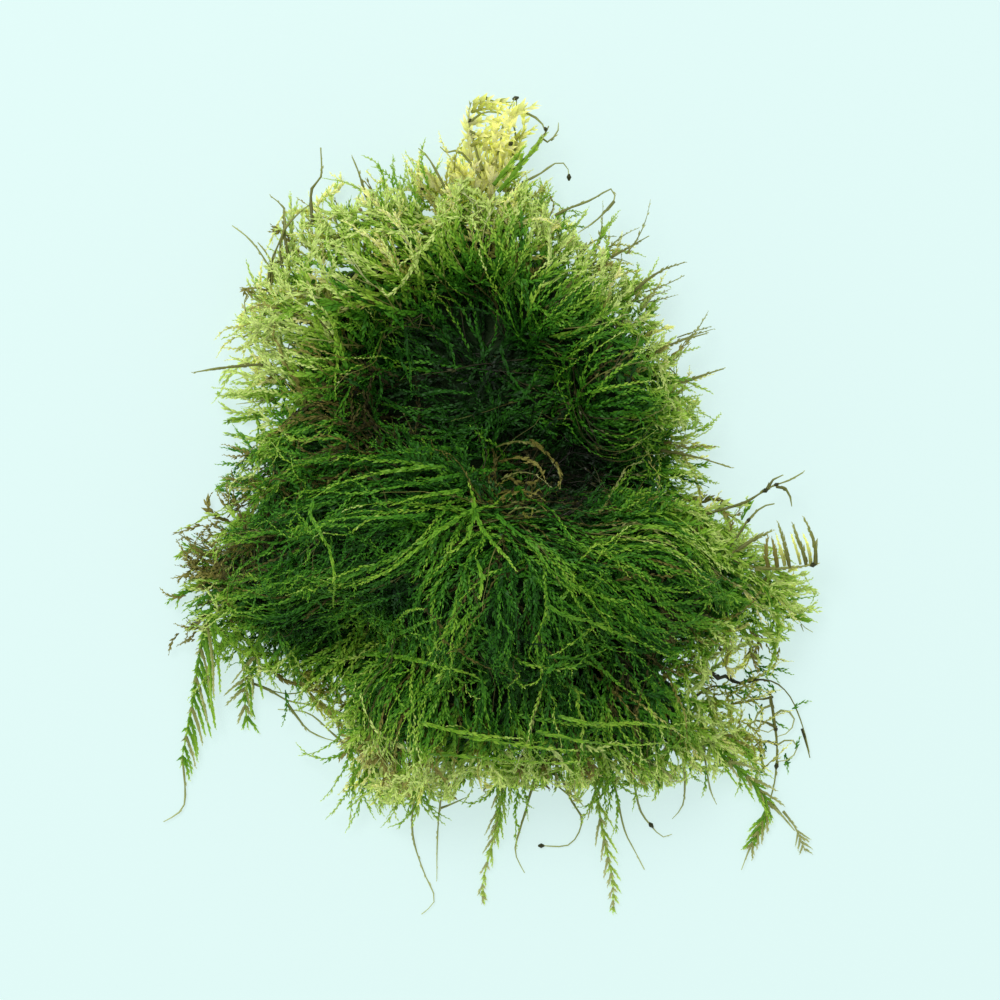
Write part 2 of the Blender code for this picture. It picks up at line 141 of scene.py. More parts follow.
def linear(hex_colour: str) -> tuple[float, float, float, float]:
    """Turns an sRGB colour to linear.

    Args:
        hex_colour: The colour as #rrggbb.

    Returns:
        Its linear red, green and blue, and an alpha of 1.
    """
    shares = [int(hex_colour[i : i + 2], 16) / 255 for i in (1, 3, 5)]
    return (*(s / 12.92 if s <= 0.04045 else ((s + 0.055) / 1.055) ** 2.4 for s in shares), 1.0)


# ---- finishes


@dataclass(frozen=True)
class LeafFinish:
    """A finish of leaves and stems, read from their atlas.

    Attributes:
        name: The material's name.
        kind: The growth that wears it.
        tones: Colours from the oldest, most shaded growth to the youngest; the tone carries painted shade and
            painted light besides age.
        rib: How much lighter or darker the middle of a leaf is.
        roughness: Of the surface.
        gloss: The specular level.
        let_through: Share of the light that passes through the leaf.
    """

    name: str
    kind: Growth
    tones: tuple[str, ...]
    rib: float
    roughness: float
    gloss: float
    let_through: float

    FILTERED = (1.12, 1.12, 0.6)  # light that comes through a leaf is yellower than light that it reflects
    RIB_WIDTH = 0.12  # half of it, as a share of the leaf's width
    CLASP = 0.72  # brightness where a leaf clasps the stem: painted shade
    TIP = 1.22  # and at its thin tip: painted light
    IOR = 1.4

    def material(self) -> bpy.types.Material:
        """Builds the material.

        Returns:
            The material.
        """
        made, add = new_material(self.name)
        place = add("ShaderNodeSeparateXYZ", {0: add("ShaderNodeUVMap", uv_map=ATLAS)})
        column = add(MATH, {0: place.outputs[0], 1: TONES}, operation="MULTIPLY")
        across = add(MATH, {0: column}, operation="FRACT")
        row = add(MATH, {0: place.outputs[1], 1: KINDS}, operation="MULTIPLY")
        along = add(MATH, {0: row}, operation="FRACT")
        tone = add(MATH, {0: add(MATH, {0: column}, operation="FLOOR"), 1: TONES - 1}, operation="DIVIDE")
        ramp = add("ShaderNodeValToRGB", {"Fac": tone})
        stops = ramp.color_ramp.elements
        while len(stops) < len(self.tones):
            stops.new(0.5)
        for i, colour in enumerate(self.tones):
            stops[i].position = i / (len(self.tones) - 1)
            stops[i].color = linear(colour)

        # A leaf is darker where it clasps the stem, as painted shade, and lighter at its thin tip, as painted
        # light; its rib differs from both.
        middle = add(MATH, {0: across, 1: 0.5, 2: self.RIB_WIDTH}, operation="COMPARE")
        rib = add(SPREAD, {"Value": middle, "To Min": 1.0, "To Max": 1.0 + self.rib})
        clasp = add(SPREAD, {"Value": along, "To Min": self.CLASP, "To Max": self.TIP})
        shade = add(MATH, {0: rib, 1: clasp}, operation="MULTIPLY")
        shaded = add("ShaderNodeVectorMath", {0: ramp, "Scale": shade}, operation="SCALE")
        look = {"Base Color": shaded, "Roughness": self.roughness, "Specular IOR Level": self.gloss}
        surface = add("ShaderNodeBsdfPrincipled", look | {"IOR": self.IOR})
        through = add("ShaderNodeVectorMath", {0: shaded, 1: self.FILTERED}, operation="MULTIPLY")
        glow = add("ShaderNodeBsdfTranslucent", {"Color": through})
        blend = add("ShaderNodeMixShader", {0: self.let_through, 1: surface, 2: glow})
        add("ShaderNodeOutputMaterial", {"Surface": blend})
        return made


FINISHES = (
    # Living leaves are one cell thick and wet: clear green with light coming through, and a soft wet gloss.
    LeafFinish(
        "wet_living_moss_leaf",
        Growth.LIVING,
        ("#0d2608", "#16400c", "#235a12", "#377b19", "#589d22", "#85ba31", "#aed248", "#dbeb90"),
        rib=0.15, roughness=0.45, gloss=0.35, let_through=0.35,
    ),
    # Old leaves have lost their green: brown and dull; their darker tones inside the clump are painted shade.
    LeafFinish(
        "browned_moss_leaf",
        Growth.BROWNED,
        ("#15150a", "#282810", "#42411a", "#625f27", "#837f38", "#a6a256"),
        rib=0.1, roughness=0.6, gloss=0.3, let_through=0.2,
    ),
    # Bleached leaves are empty cells: straw to cream, and they pass most of the light.
    LeafFinish(
        "bleached_moss_leaf",
        Growth.BLEACHED,
        ("#525a1e", "#888b35", "#b3b552", "#d7da80", "#f1f1b8", "#fdfce2"),
        rib=0.05, roughness=0.5, gloss=0.4, let_through=0.65,
    ),
    # Bare stems have a waxy skin: brown to olive, with a satin gloss.
    LeafFinish(
        "waxy_bare_moss_stem",
        Growth.BARE,
        ("#191b0d", "#373a18", "#565a26", "#797f39", "#9da65b", "#c8d090"),
        rib=0.0, roughness=0.45, gloss=0.5, let_through=0.1,
    ),
)  # fmt: skip


@dataclass(frozen=True)
class MattedStems:
    """The finish of the old stems packed in the clump's middle: black-brown, fibrous, and dull; its darkness
    is partly painted shade deep in the clump.

    Attributes:
        dark: Colour between the stems: painted shade.
        light: Colour of the stems.
        stem_mm: Width of a stem in the pattern.
        relief: Height of a stem in the pattern.
    """

    dark: str = "#0d1a06"
    light: str = "#25401a"
    stem_mm: float = 0.8
    relief: float = 0.3 * MM

    def material(self) -> bpy.types.Material:
        """Builds the material.

        Returns:
            The material.
        """
        made, add = new_material("matted_old_moss_stems")
        place = add("ShaderNodeTexCoord").outputs["Object"]
        pattern = {"Vector": place, "Scale": 1 / (self.stem_mm * MM), "Detail": 4.0, "Distortion": 1.5}
        fibres = add("ShaderNodeTexNoise", pattern)
        colours = {"Factor": fibres, "A": linear(self.dark), "B": linear(self.light)}
        colour = add("ShaderNodeMix", colours, data_type="RGBA")
        relief = add("ShaderNodeBump", {"Height": fibres, "Distance": self.relief, "Strength": 0.8})
        look = {"Base Color": colour, "Roughness": 0.85, "Specular IOR Level": 0.2, "Normal": relief}
        add("ShaderNodeOutputMaterial", {"Surface": add("ShaderNodeBsdfPrincipled", look)})
        return made


# ---- lines of growth


@dataclass
class Line:
    """The line of one shoot, root first.

    Attributes:
        places: Points that the shoot passes through.
        faces: At each point, the way that its fan of leaves faces.
        tones: At each point, its tone, from 0, darkest, to 1.
        growth: What covers it.
        side: Length of its longest side shoots.
        leafy: Share of its leaves that it still has.
        size: Size of its stem and leaves beside the usual one.
    """

    places: list[Vector]
    faces: list[Vector]
    tones: list[float]
    growth: Growth = Growth.LIVING
    side: float = 0.0
    leafy: float = 1.0
    size: float = 1.0


def lines_mesh(name: str, lines: Iterable[Line]) -> bpy.types.Mesh:
    """Turns lines to a mesh of edges that carries what the node tree needs to know.

    Args:
        name: The mesh's name.
        lines: The lines.

    Returns:
        The mesh.
    """
    places, edges, faces = [], [], []
    values: dict[str, list[float]] = {key: [] for key in ("tone", "kind", "side", "leafy", "size", "course")}
    for line in lines:
        last = len(line.places) - 1
        for i, (place, face, tone) in enumerate(zip(line.places, line.faces, line.tones, strict=True)):
            if i:
                edges.append((len(places) - 1, len(places)))
            places.append(place)
            faces.extend(face)
            known = (tone, float(line.growth), line.side, line.leafy, line.size, i / last)
            for column, value in zip(values.values(), known, strict=True):
                column.append(value)
    mesh = bpy.data.meshes.new(name)
    mesh.from_pydata(places, edges, [])
    mesh.attributes.new("face_way", "FLOAT_VECTOR", "POINT").data.foreach_set("vector", faces)
    for key, column in values.items():
        mesh.attributes.new(key, "FLOAT", "POINT").data.foreach_set("value", column)
    return mesh


@dataclass(frozen=True)
class Habit:
    """How a kind of shoot grows: the sizes that the node tree takes.

    Attributes:
        side_spacing: Between two side shoots.
        side_lean: Angle between a side shoot and its axis.
        leaf_spacing: Between two leaves.
        leaf_length: Of a full-grown leaf.
        leaf_lean: Angle between a leaf and its stem.
        leaf_roll: How far leaves turn out of the fan, either way.
        stem_radius: At the root.
        stem_sides: Flats round a stem.
        wander: How far a line wanders from its course.
    """

    side_spacing: float = 1.8 * MM
    side_lean: float = math.radians(24)
    leaf_spacing: float = 0.42 * MM
    leaf_length: float = 1.05 * MM
    leaf_lean: float = math.radians(17)
    leaf_roll: float = math.radians(50)
    stem_radius: float = 0.11 * MM
    stem_sides: int = 3
    wander: float = 0.7 * MM


def folded_leaf() -> bpy.types.Object:
    """Builds the leaf that all shoots wear: one unit long, folded along its middle, and closed.

    Returns:
        The leaf, with the place on it in the attributes across and along.
    """
    width, fold, widest, tip_rise = 0.36, 0.1, 0.38, 0.02
    places = [(0, 0, 0), (1, 0, tip_rise), (widest, width / 2, fold), (widest, -width / 2, fold)]
    bm = bmesh.new()
    corners = [bm.verts.new(place) for place in places]
    for face in ((0, 1, 2), (0, 3, 1), (0, 2, 3), (1, 3, 2)):
        bm.faces.new([corners[i] for i in face])
    bmesh.ops.recalc_face_normals(bm, faces=bm.faces)
    leaf = new_object("folded_leaf", bm)
    for name, values in (("across", [0.5, 0.5, 1.0, 0.0]), ("along", [0.0, 1.0, widest, widest])):
        leaf.data.attributes.new(name, "FLOAT", "POINT").data.foreach_set("value", values)
    return leaf


def new_object(name: str, bm: bmesh.types.BMesh) -> bpy.types.Object:
    """Makes an object of a mesh under construction, which is used up.

    Args:
        name: The object's name.
        bm: The mesh.

    Returns:
        The object.
    """
    mesh = bpy.data.meshes.new(name)
    bm.to_mesh(mesh)
    bm.free()
    return placed(name, mesh)


def placed(name: str, data: bpy.types.ID) -> bpy.types.Object:
    """Puts a mesh, light or camera in the scene as an object."""
    made = bpy.data.objects.new(name, data)
    bpy.context.scene.collection.objects.link(made)
    return made


# ---- the node tree


class GrowthTree:
    """The node tree that turns lines into stems with side shoots and leaves.

    It is built once. Each piece sets its inputs: the habit's sizes, the leaf, the finishes and a seed.
    """

    # What a line carries, and what the tree adds: the place on a leaf or stem and its tone.
    CARRIED = ("face_way", "tone", "kind", "side", "leafy", "size", "course", "across", "along", "shade")
    SIDE_POINTS = 5
    SIDE_BEND = -0.16  # how far a side shoot's tip bends towards its axis, as a share of its length
    SIDE_START = 0.06  # the share of an axis where side shoots start
    SIDE_END = 0.94  # and end
    SIDE_TAPER = 0.28  # length of the last side shoot beside the first
    # Limits of what chance makes of a side shoot's length, lean, roll in radians, and tone.
    SIDE_LENGTHS = (0.45, 1.1)
    SIDE_LEANS = (0.7, 1.35)
    SIDE_ROLLS = (-0.6, 0.6)
    SIDE_TONES = (-0.07, 0.09)
    SIDE_SIZE = 0.88  # size of its stem and leaves beside the axis's
    WANDER_DETAIL = 1.5
    WANDER_SCALE = 0.11 / MM  # lines within 9 mm of each other wander together
    NOISE_REACH = 2.0  # noise stays within half its unit, either way
    STEM_STRETCH = 1.1 * MM  # between two rings of a stem
    STEM_TAPER = 0.35  # width of a stem's tip beside its root
    STEM_TONE = -0.06  # a stem is darker than its leaves
    GNARL_SCALE = 0.6 / MM  # how fast a stem swells and thins along its way
    GNARLS = {"From Min": 0.35, "From Max": 0.7, "To Min": 0.8, "To Max": 1.35}
    LEAF_TAPER = 0.4  # length of the last leaf beside the first
    # Limits of what chance makes of a leaf's length, lean and tone.
    LEAF_LENGTHS = (0.75, 1.15)
    LEAF_LEANS = (0.7, 1.3)
    LEAF_TONES = (-0.05, 0.05)
    YOUNG = 0.12  # how much lighter the youngest leaves are, at the tip
    # The part of a cell of the atlas that is used, so that no tone bleeds into the next.
    CELL_ACROSS = (0.06, 0.94)
    CELL_ALONG = (0.04, 0.96)
    LOWEST = 0.02 * MM  # how near the surface under the clump the moss is pressed
    PRESSED = 0.5 * MM  # height under which it is pressed together

    def __init__(self, finishes: Iterable[LeafFinish]) -> None:
        """Builds the tree.

        Args:
            finishes: One for each kind of growth.
        """
        self.leaf = folded_leaf()
        self.materials = {finish.kind.name.lower(): finish.material() for finish in finishes}
        self.tree = bpy.data.node_groups.new("moss_growth", "GeometryNodeTree")
        kinds = {"Lines": "Geometry", "leaf": "Object"}
        kinds |= {size: "Int" if kind is int else "Float" for size, kind in Habit.__annotations__.items()}
        kinds |= {"seed": "Int"} | dict.fromkeys(self.materials, "Material")
        sockets = self.tree.interface
        self.identifiers = {
            name: sockets.new_socket(name, in_out="INPUT", socket_type=f"NodeSocket{kind}").identifier
            for name, kind in kinds.items()
        }
        sockets.new_socket("Moss", in_out="OUTPUT", socket_type="NodeSocketGeometry")
        self.add = partial(add_node, self.tree)
        self.given = self.add("NodeGroupInput").outputs
        self.known = {
            name: self.add(
                "GeometryNodeInputNamedAttribute",
                {"Name": name},
                data_type="FLOAT_VECTOR" if name == "face_way" else "FLOAT",
            )
            for name in self.CARRIED
        }
        self.build()

    def build(self) -> None:
        """Lays out the tree: lines, side shoots, stems, leaves, atlas, finishes."""
        lines = self.add("GeometryNodeMeshToCurve", {"Mesh": self.given["Lines"]})
        axes = self.add("GeometryNodeCurveSplineType", {"Curve": lines}, spline_type="CATMULL_ROM")
        shoots = self.add("GeometryNodeJoinGeometry", {0: [axes, self.side_shoots(axes)]})
        wandering = self.wandering(shoots)
        moss = self.add("GeometryNodeJoinGeometry", {0: [self.stems(wandering), self.leaves(wandering)]})
        result = self.add("GeometryNodeRealizeInstances", {0: self.pressed(self.mapped(moss))})
        for kind in Growth:
            chosen = {"A": self.known["kind"], "B": float(kind), "Epsilon": 0.5}
            worn = self.add("FunctionNodeCompare", chosen, data_type="FLOAT", operation="EQUAL")
            finish = {"Geometry": result, "Selection": worn, "Material": self.given[kind.name.lower()]}
            result = self.add("GeometryNodeSetMaterial", finish)
        self.add("NodeGroupOutput", {0: result})

    def chain(self, operation: str, first: object, *others: object, kind: str = MATH) -> Node:
        """Adds a row of nodes, each of which works one more value into the result.

        Args:
            operation: What they do.
            first: The first value, socket or node.
            others: The further ones, in their order.
            kind: The nodes' type.

        Returns:
            The last node.
        """
        result = first
        for value in others:
            result = self.add(kind, {0: result, 1: value}, operation=operation)
        return result

    def left_or_right(self) -> Node:
        """1 and -1 in turn along a line."""
        odd = self.chain("MODULO", self.add("GeometryNodeInputIndex"), 2.0)
        return self.add(MATH, {0: odd, 1: -2.0, 2: 1.0}, operation="MULTIPLY_ADD")

    def chance(self, limits: tuple[float, float], offset: int) -> Node:
        """A random number between two limits, with a seed of its own beside the piece's."""
        seed = self.chain("ADD", self.given["seed"], float(offset))
        drawn = {"Min": limits[0], "Max": limits[1], "Seed": seed}
        return self.add("FunctionNodeRandomValue", drawn, data_type="FLOAT")

    def turned(self, roll: Node, lean: Node) -> Node:
        """Turns the frame of a line: X along it and Z the way that its fan of leaves faces.

        Args:
            roll: Angle about the line.
            lean: Angle away from the line, in the rolled frame's own plane.

        Returns:
            The node that gives the turned frame.
        """
        along = self.add("GeometryNodeInputTangent")
        ways = {"Primary Axis": along, "Secondary Axis": self.known["face_way"]}
        turned = self.add("FunctionNodeAxesToRotation", ways, primary_axis="X", secondary_axis="Z")
        for axis, angle in (("X", roll), ("Z", lean)):
            turn = self.add("FunctionNodeEulerToRotation", {0: self.add(VECTOR, {axis: angle})})
            turned = self.add("FunctionNodeRotateRotation", {0: turned, 1: turn}, rotation_space="LOCAL")
        return turned

    def side_shoots(self, axes: Node) -> Node:
        """Sets side shoots left and right of each axis, shorter towards its tip.

        Args:
            axes: The node that gives the axes.

        Returns:
            The node that gives the side shoots' lines.
        """
        ruler = self.add("GeometryNodeCurvePrimitiveLine", {"End": (1.0, 0.0, 0.0)})
        shoot = self.add(RESAMPLE, {"Curve": ruler, "Count": self.SIDE_POINTS}, mode="COUNT")
        course = self.add("GeometryNodeSplineParameter").outputs["Factor"]
        held = {"Geometry": shoot, "Name": "course", "Value": course}
        shoot = self.add(STORE, held, data_type="FLOAT", domain="POINT")
        bend = self.chain("MULTIPLY", self.chain("POWER", course, 2.0), self.SIDE_BEND)
        bent = {"Geometry": shoot, "Offset": self.add(VECTOR, {"Y": bend})}
        shoot = self.add("GeometryNodeSetPosition", bent)
        seats = self.add(RESAMPLE, {"Curve": axes, "Length": self.given["side_spacing"]}, mode="LENGTH")
        course = self.known["course"]
        far = self.chain("LESS_THAN", course, self.SIDE_END)
        clear = self.chain("GREATER_THAN", course, self.SIDE_START)
        branched = self.chain("GREATER_THAN", self.known["side"], 0.0)
        side = self.left_or_right()
        taper = self.add(SPREAD, {"Value": course, "To Min": 1.0, "To Max": self.SIDE_TAPER})
        length = self.chain("MULTIPLY", self.known["side"], taper, self.chance(self.SIDE_LENGTHS, 1))
        lean = self.chain("MULTIPLY", self.given["side_lean"], self.chance(self.SIDE_LEANS, 2), side)
        mirrored = self.chain("MULTIPLY", length, side)
        ranked = self.add(
            "GeometryNodeInstanceOnPoints",
            {
                "Points": seats,
                "Selection": self.chain("MULTIPLY", far, clear, branched),
                "Instance": shoot,
                "Rotation": self.turned(self.chance(self.SIDE_ROLLS, 3), lean),
                "Scale": self.add(VECTOR, {"X": length, "Y": mirrored, "Z": length}),
            },
        )
        tone = self.chain("ADD", self.known["tone"], self.chance(self.SIDE_TONES, 4))
        size = self.chain("MULTIPLY", self.known["size"], self.SIDE_SIZE)
        for name, value in (("tone", tone), ("size", size)):
            held = {"Geometry": ranked, "Name": name, "Value": value}
            ranked = self.add(STORE, held, data_type="FLOAT", domain="INSTANCE")
        return self.add("GeometryNodeRealizeInstances", {0: ranked})

    def wandering(self, shoots: Node) -> Node:
        """Lets the lines wander together, as grown shoots do.

        Args:
            shoots: The node that gives the lines.

        Returns:
            The node that gives them moved.
        """
        offset = self.add(
            "ShaderNodeTexNoise",
            {
                "Vector": self.add("GeometryNodeInputPosition"),
                "Scale": self.WANDER_SCALE,
                "Detail": self.WANDER_DETAIL,
                "Roughness": 0.5,
            },
        ).outputs["Color"]
        offset = self.chain("SUBTRACT", offset, (0.5, 0.5, 0.5), kind="ShaderNodeVectorMath")
        for scale in (self.given["wander"], self.NOISE_REACH):
            offset = self.add("ShaderNodeVectorMath", {0: offset, "Scale": scale}, operation="SCALE")
        fine = self.add(RESAMPLE, {"Curve": shoots, "Length": self.STEM_STRETCH}, mode="LENGTH")
        return self.add("GeometryNodeSetPosition", {"Geometry": fine, "Offset": offset})

    def stems(self, lines: Node) -> Node:
        """Sweeps a tapered stem along each line.

        Args:
            lines: The node that gives the lines.

        Returns:
            The node that gives the stems' mesh.
        """
        taper = self.add(SPREAD, {"Value": self.known["course"], "To Min": 1.0, "To Max": self.STEM_TAPER})
        bumps = {"Vector": self.add("GeometryNodeInputPosition"), "Scale": self.GNARL_SCALE, "Detail": 1.0}
        gnarls = self.add(SPREAD, {"Value": self.add("ShaderNodeTexNoise", bumps), **self.GNARLS})
        radius = self.chain("MULTIPLY", taper, self.given["stem_radius"], self.known["size"], gnarls)
        shade = self.chain("ADD", self.known["tone"], self.STEM_TONE)
        ring = {"Resolution": self.given["stem_sides"], "Radius": 1.0}
        ring = self.add("GeometryNodeCurvePrimitiveCircle", ring, mode="RADIUS")
        around = self.add("GeometryNodeSplineParameter").outputs["Factor"]
        held = {"Geometry": ring, "Name": "across", "Value": around}
        ring = self.add(STORE, held, data_type="FLOAT", domain="POINT")
        for name, value in (("along", self.known["course"]), ("shade", shade)):
            held = {"Geometry": lines, "Name": name, "Value": value}
            lines = self.add(STORE, held, data_type="FLOAT", domain="POINT")
        swept = {"Curve": lines, "Profile Curve": ring, "Scale": radius, "Fill Caps": True}
        return self.add("GeometryNodeCurveToMesh", swept)

    def leaves(self, lines: Node) -> Node:
        """Sets leaves left and right along each line, smaller towards its tip.

        Args:
            lines: The node that gives the lines.

        Returns:
            The node that gives the leaves' mesh.
        """
        seats = self.add(RESAMPLE, {"Curve": lines, "Length": self.given["leaf_spacing"]}, mode="LENGTH")
        leaf = self.add("GeometryNodeObjectInfo", {"Object": self.given["leaf"]}).outputs["Geometry"]
        kept = self.chain("LESS_THAN", self.chance((0, 1), 5), self.known["leafy"])
        side = self.left_or_right()
        lean = self.chain("MULTIPLY", self.given["leaf_lean"], self.chance(self.LEAF_LEANS, 6), side)
        roll = self.chain("MULTIPLY", self.given["leaf_roll"], self.chance((-1, 1), 7))
        young = self.chain("POWER", self.known["course"], 2.0)
        taper = self.add(SPREAD, {"Value": young, "To Min": 1.0, "To Max": self.LEAF_TAPER})
        drawn = self.chance(self.LEAF_LENGTHS, 8)
        ranked = self.add(
            "GeometryNodeInstanceOnPoints",
            {
                "Points": seats,
                "Selection": kept,
                "Instance": leaf,
                "Rotation": self.turned(roll, lean),
                "Scale": self.chain("MULTIPLY", self.given["leaf_length"], taper, drawn, self.known["size"]),
            },
        )
        shade = self.add(MATH, {0: young, 1: self.YOUNG, 2: self.known["tone"]}, operation="MULTIPLY_ADD")
        shade = self.chain("ADD", shade, self.chance(self.LEAF_TONES, 9))
        held = {"Geometry": ranked, "Name": "shade", "Value": shade}
        ranked = self.add(STORE, held, data_type="FLOAT", domain="INSTANCE")
        return self.add("GeometryNodeRealizeInstances", {0: ranked})

    def mapped(self, moss: Node) -> Node:
        """Gives each face its place in the atlas: column by tone, row by kind.

        Args:
            moss: The node that gives the mesh.

        Returns:
            The node that gives it with its map.
        """
        shade, kind = (
            self.add("GeometryNodeFieldOnDomain", {0: self.known[name]}, data_type="FLOAT", domain="FACE")
            for name in ("shade", "kind")
        )
        column = self.add(MATH, {0: self.chain("MULTIPLY", shade, TONES)}, operation="FLOOR")
        column = self.add("ShaderNodeClamp", {"Value": column, "Min": 0.0, "Max": TONES - 1.0})
        row = self.add(MATH, {0: kind}, operation="ROUND")
        cells = []
        for cell, count, name, limits in (
            (column, TONES, "across", self.CELL_ACROSS),
            (row, KINDS, "along", self.CELL_ALONG),
        ):
            inside = {"Value": self.known[name], "To Min": limits[0], "To Max": limits[1]}
            cells.append(self.chain("DIVIDE", self.chain("ADD", cell, self.add(SPREAD, inside)), count))
        held = {"Geometry": moss, "Name": ATLAS, "Value": self.add(VECTOR, {"X": cells[0], "Y": cells[1]})}
        return self.add(STORE, held, data_type="FLOAT2", domain="CORNER")

    def pressed(self, moss: Node) -> Node:
        """Presses what is near the ground together, so that nothing reaches below it.

        Args:
            moss: The node that gives the mesh.

        Returns:
            The node that gives it pressed.
        """
        at = self.add("ShaderNodeSeparateXYZ", {0: self.add("GeometryNodeInputPosition")}).outputs
        depth = self.chain("DIVIDE", self.chain("SUBTRACT", at["Z"], self.PRESSED), self.PRESSED)
        depth = self.add(MATH, {0: depth}, operation="EXPONENT")
        scaled = {0: depth, 1: self.PRESSED - self.LOWEST, 2: self.LOWEST}
        height = self.add(MATH, scaled, operation="MULTIPLY_ADD")
        low = self.chain("LESS_THAN", at["Z"], self.PRESSED)
        moved = self.add(VECTOR, {"X": at["X"], "Y": at["Y"], "Z": height})
        return self.add("GeometryNodeSetPosition", {"Geometry": moss, "Selection": low, "Position": moved})

    def grow(self, name: str, lines: Iterable[Line], habit: Habit, seed: int) -> bpy.types.Object:
        """Grows one piece.

        Args:
            name: The piece's name.
            lines: Its lines.
            habit: The sizes of its growth.
            seed: The seed of its chances.

        Returns:
            The piece, as a plain mesh at the origin.
        """
        guide = placed(f"{name}_lines", lines_mesh(f"{name}_lines", lines))
        growing = guide.modifiers.new("growth", "NODES")
        growing.node_group = self.tree
        for key, value in {"leaf": self.leaf, "seed": seed, **vars(habit), **self.materials}.items():
            growing[self.identifiers[key]] = value
        graph = bpy.context.evaluated_depsgraph_get()
        mesh = bpy.data.meshes.new_from_object(guide.evaluated_get(graph))
        mesh.name = name
        bpy.data.objects.remove(guide)
        for extra in [layer.name for layer in mesh.attributes if layer.name in self.CARRIED]:
            mesh.attributes.remove(mesh.attributes[extra])
        return placed(name, mesh)

    def clear(self) -> None:
        """Removes the leaf that the shoots were made from."""
        bpy.data.objects.remove(self.leaf)


def settle(piece: bpy.types.Object, slot: str, *nodes: str) -> None:
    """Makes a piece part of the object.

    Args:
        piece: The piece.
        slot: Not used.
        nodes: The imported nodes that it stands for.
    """
    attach(piece, BODY)
    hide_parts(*nodes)
    log.info("%s: %d triangles", piece.name, sum(len(face.vertices) - 2 for face in piece.data.polygons))


# ---- the cushion's form


@dataclass(frozen=True)
class Whorl:
    """A place that shoots fan out from, or around which they lie one way.

    Attributes:
        x_mm, y_mm: Its middle.
        reach_mm: How far its pull is felt.
        heading: The way that they lie, in degrees from +X towards +Y, or None where they fan out.
        strength: Of its pull.
    """

    x_mm: float
    y_mm: float
    reach_mm: float
    heading: float | None = None
    strength: float = 1.0

    def pull(self, place: Vector) -> Vector:
        """The way that it sends the shoots at a place, as long as its pull is strong."""
        away = Vector((place.x / MM - self.x_mm, place.y / MM - self.y_mm, 0))
        strength = self.strength * math.exp(-((away.length / self.reach_mm) ** 2))
        if self.heading is None:
            return away.normalized() * strength
        angle = math.radians(self.heading)
        return Vector((math.cos(angle), math.sin(angle), 0)) * strength


# How the clump is combed: out from the dark hollow above, and out from the parting over the roll below.
COMBING = (
    Whorl(-1, 19, 26),
    Whorl(2, 1, 30),
    Whorl(-12, 4, 9, 184, 1.6),
    Whorl(-28, -8, 10, 195, 0.8),
    Whorl(20, -8, 12, -14, 0.8),
    Whorl(4, -28, 13, -88, 0.8),
)


def combed(place: Vector) -> Vector:
    """The level direction in which the shoots lie at a place."""
    total = sum((pull.pull(place) for pull in COMBING), Vector((0, 0, 0)))
    return total.normalized() if total.length > 1e-9 else Vector((1, 0, 0))


@dataclass(frozen=True)
class Patch:
    """A part of the clump with its own painted light and shade, and its own growth.

    Attributes:
        x_mm, y_mm: Its middle, seen from above.
        wide_mm, high_mm: Half its size along x and along y.
        lift: What it adds to the tone: painted shade where it is below 0, and painted light where it is
            above.
        browned: Share of its shoots that are browned.
        bleached: Share of its shoots that are bleached; in the sunlit patches this pale colour is partly
            painted light.
        bare: Share of its shoots that have lost their leaves.
        sparse: Share of its shoots that are missing.
    """

    x_mm: float
    y_mm: float
    wide_mm: float
    high_mm: float
    lift: float = 0.0
    browned: float = 0.0
    bleached: float = 0.0
    bare: float = 0.0
    sparse: float = 0.0

    def share(self, place: Vector) -> float:
        """How much of the patch is felt at a place, from 0 to 1."""
        x = (place.x / MM - self.x_mm) / self.wide_mm
        y = (place.y / MM - self.y_mm) / self.high_mm
        return math.exp(-(x * x + y * y))
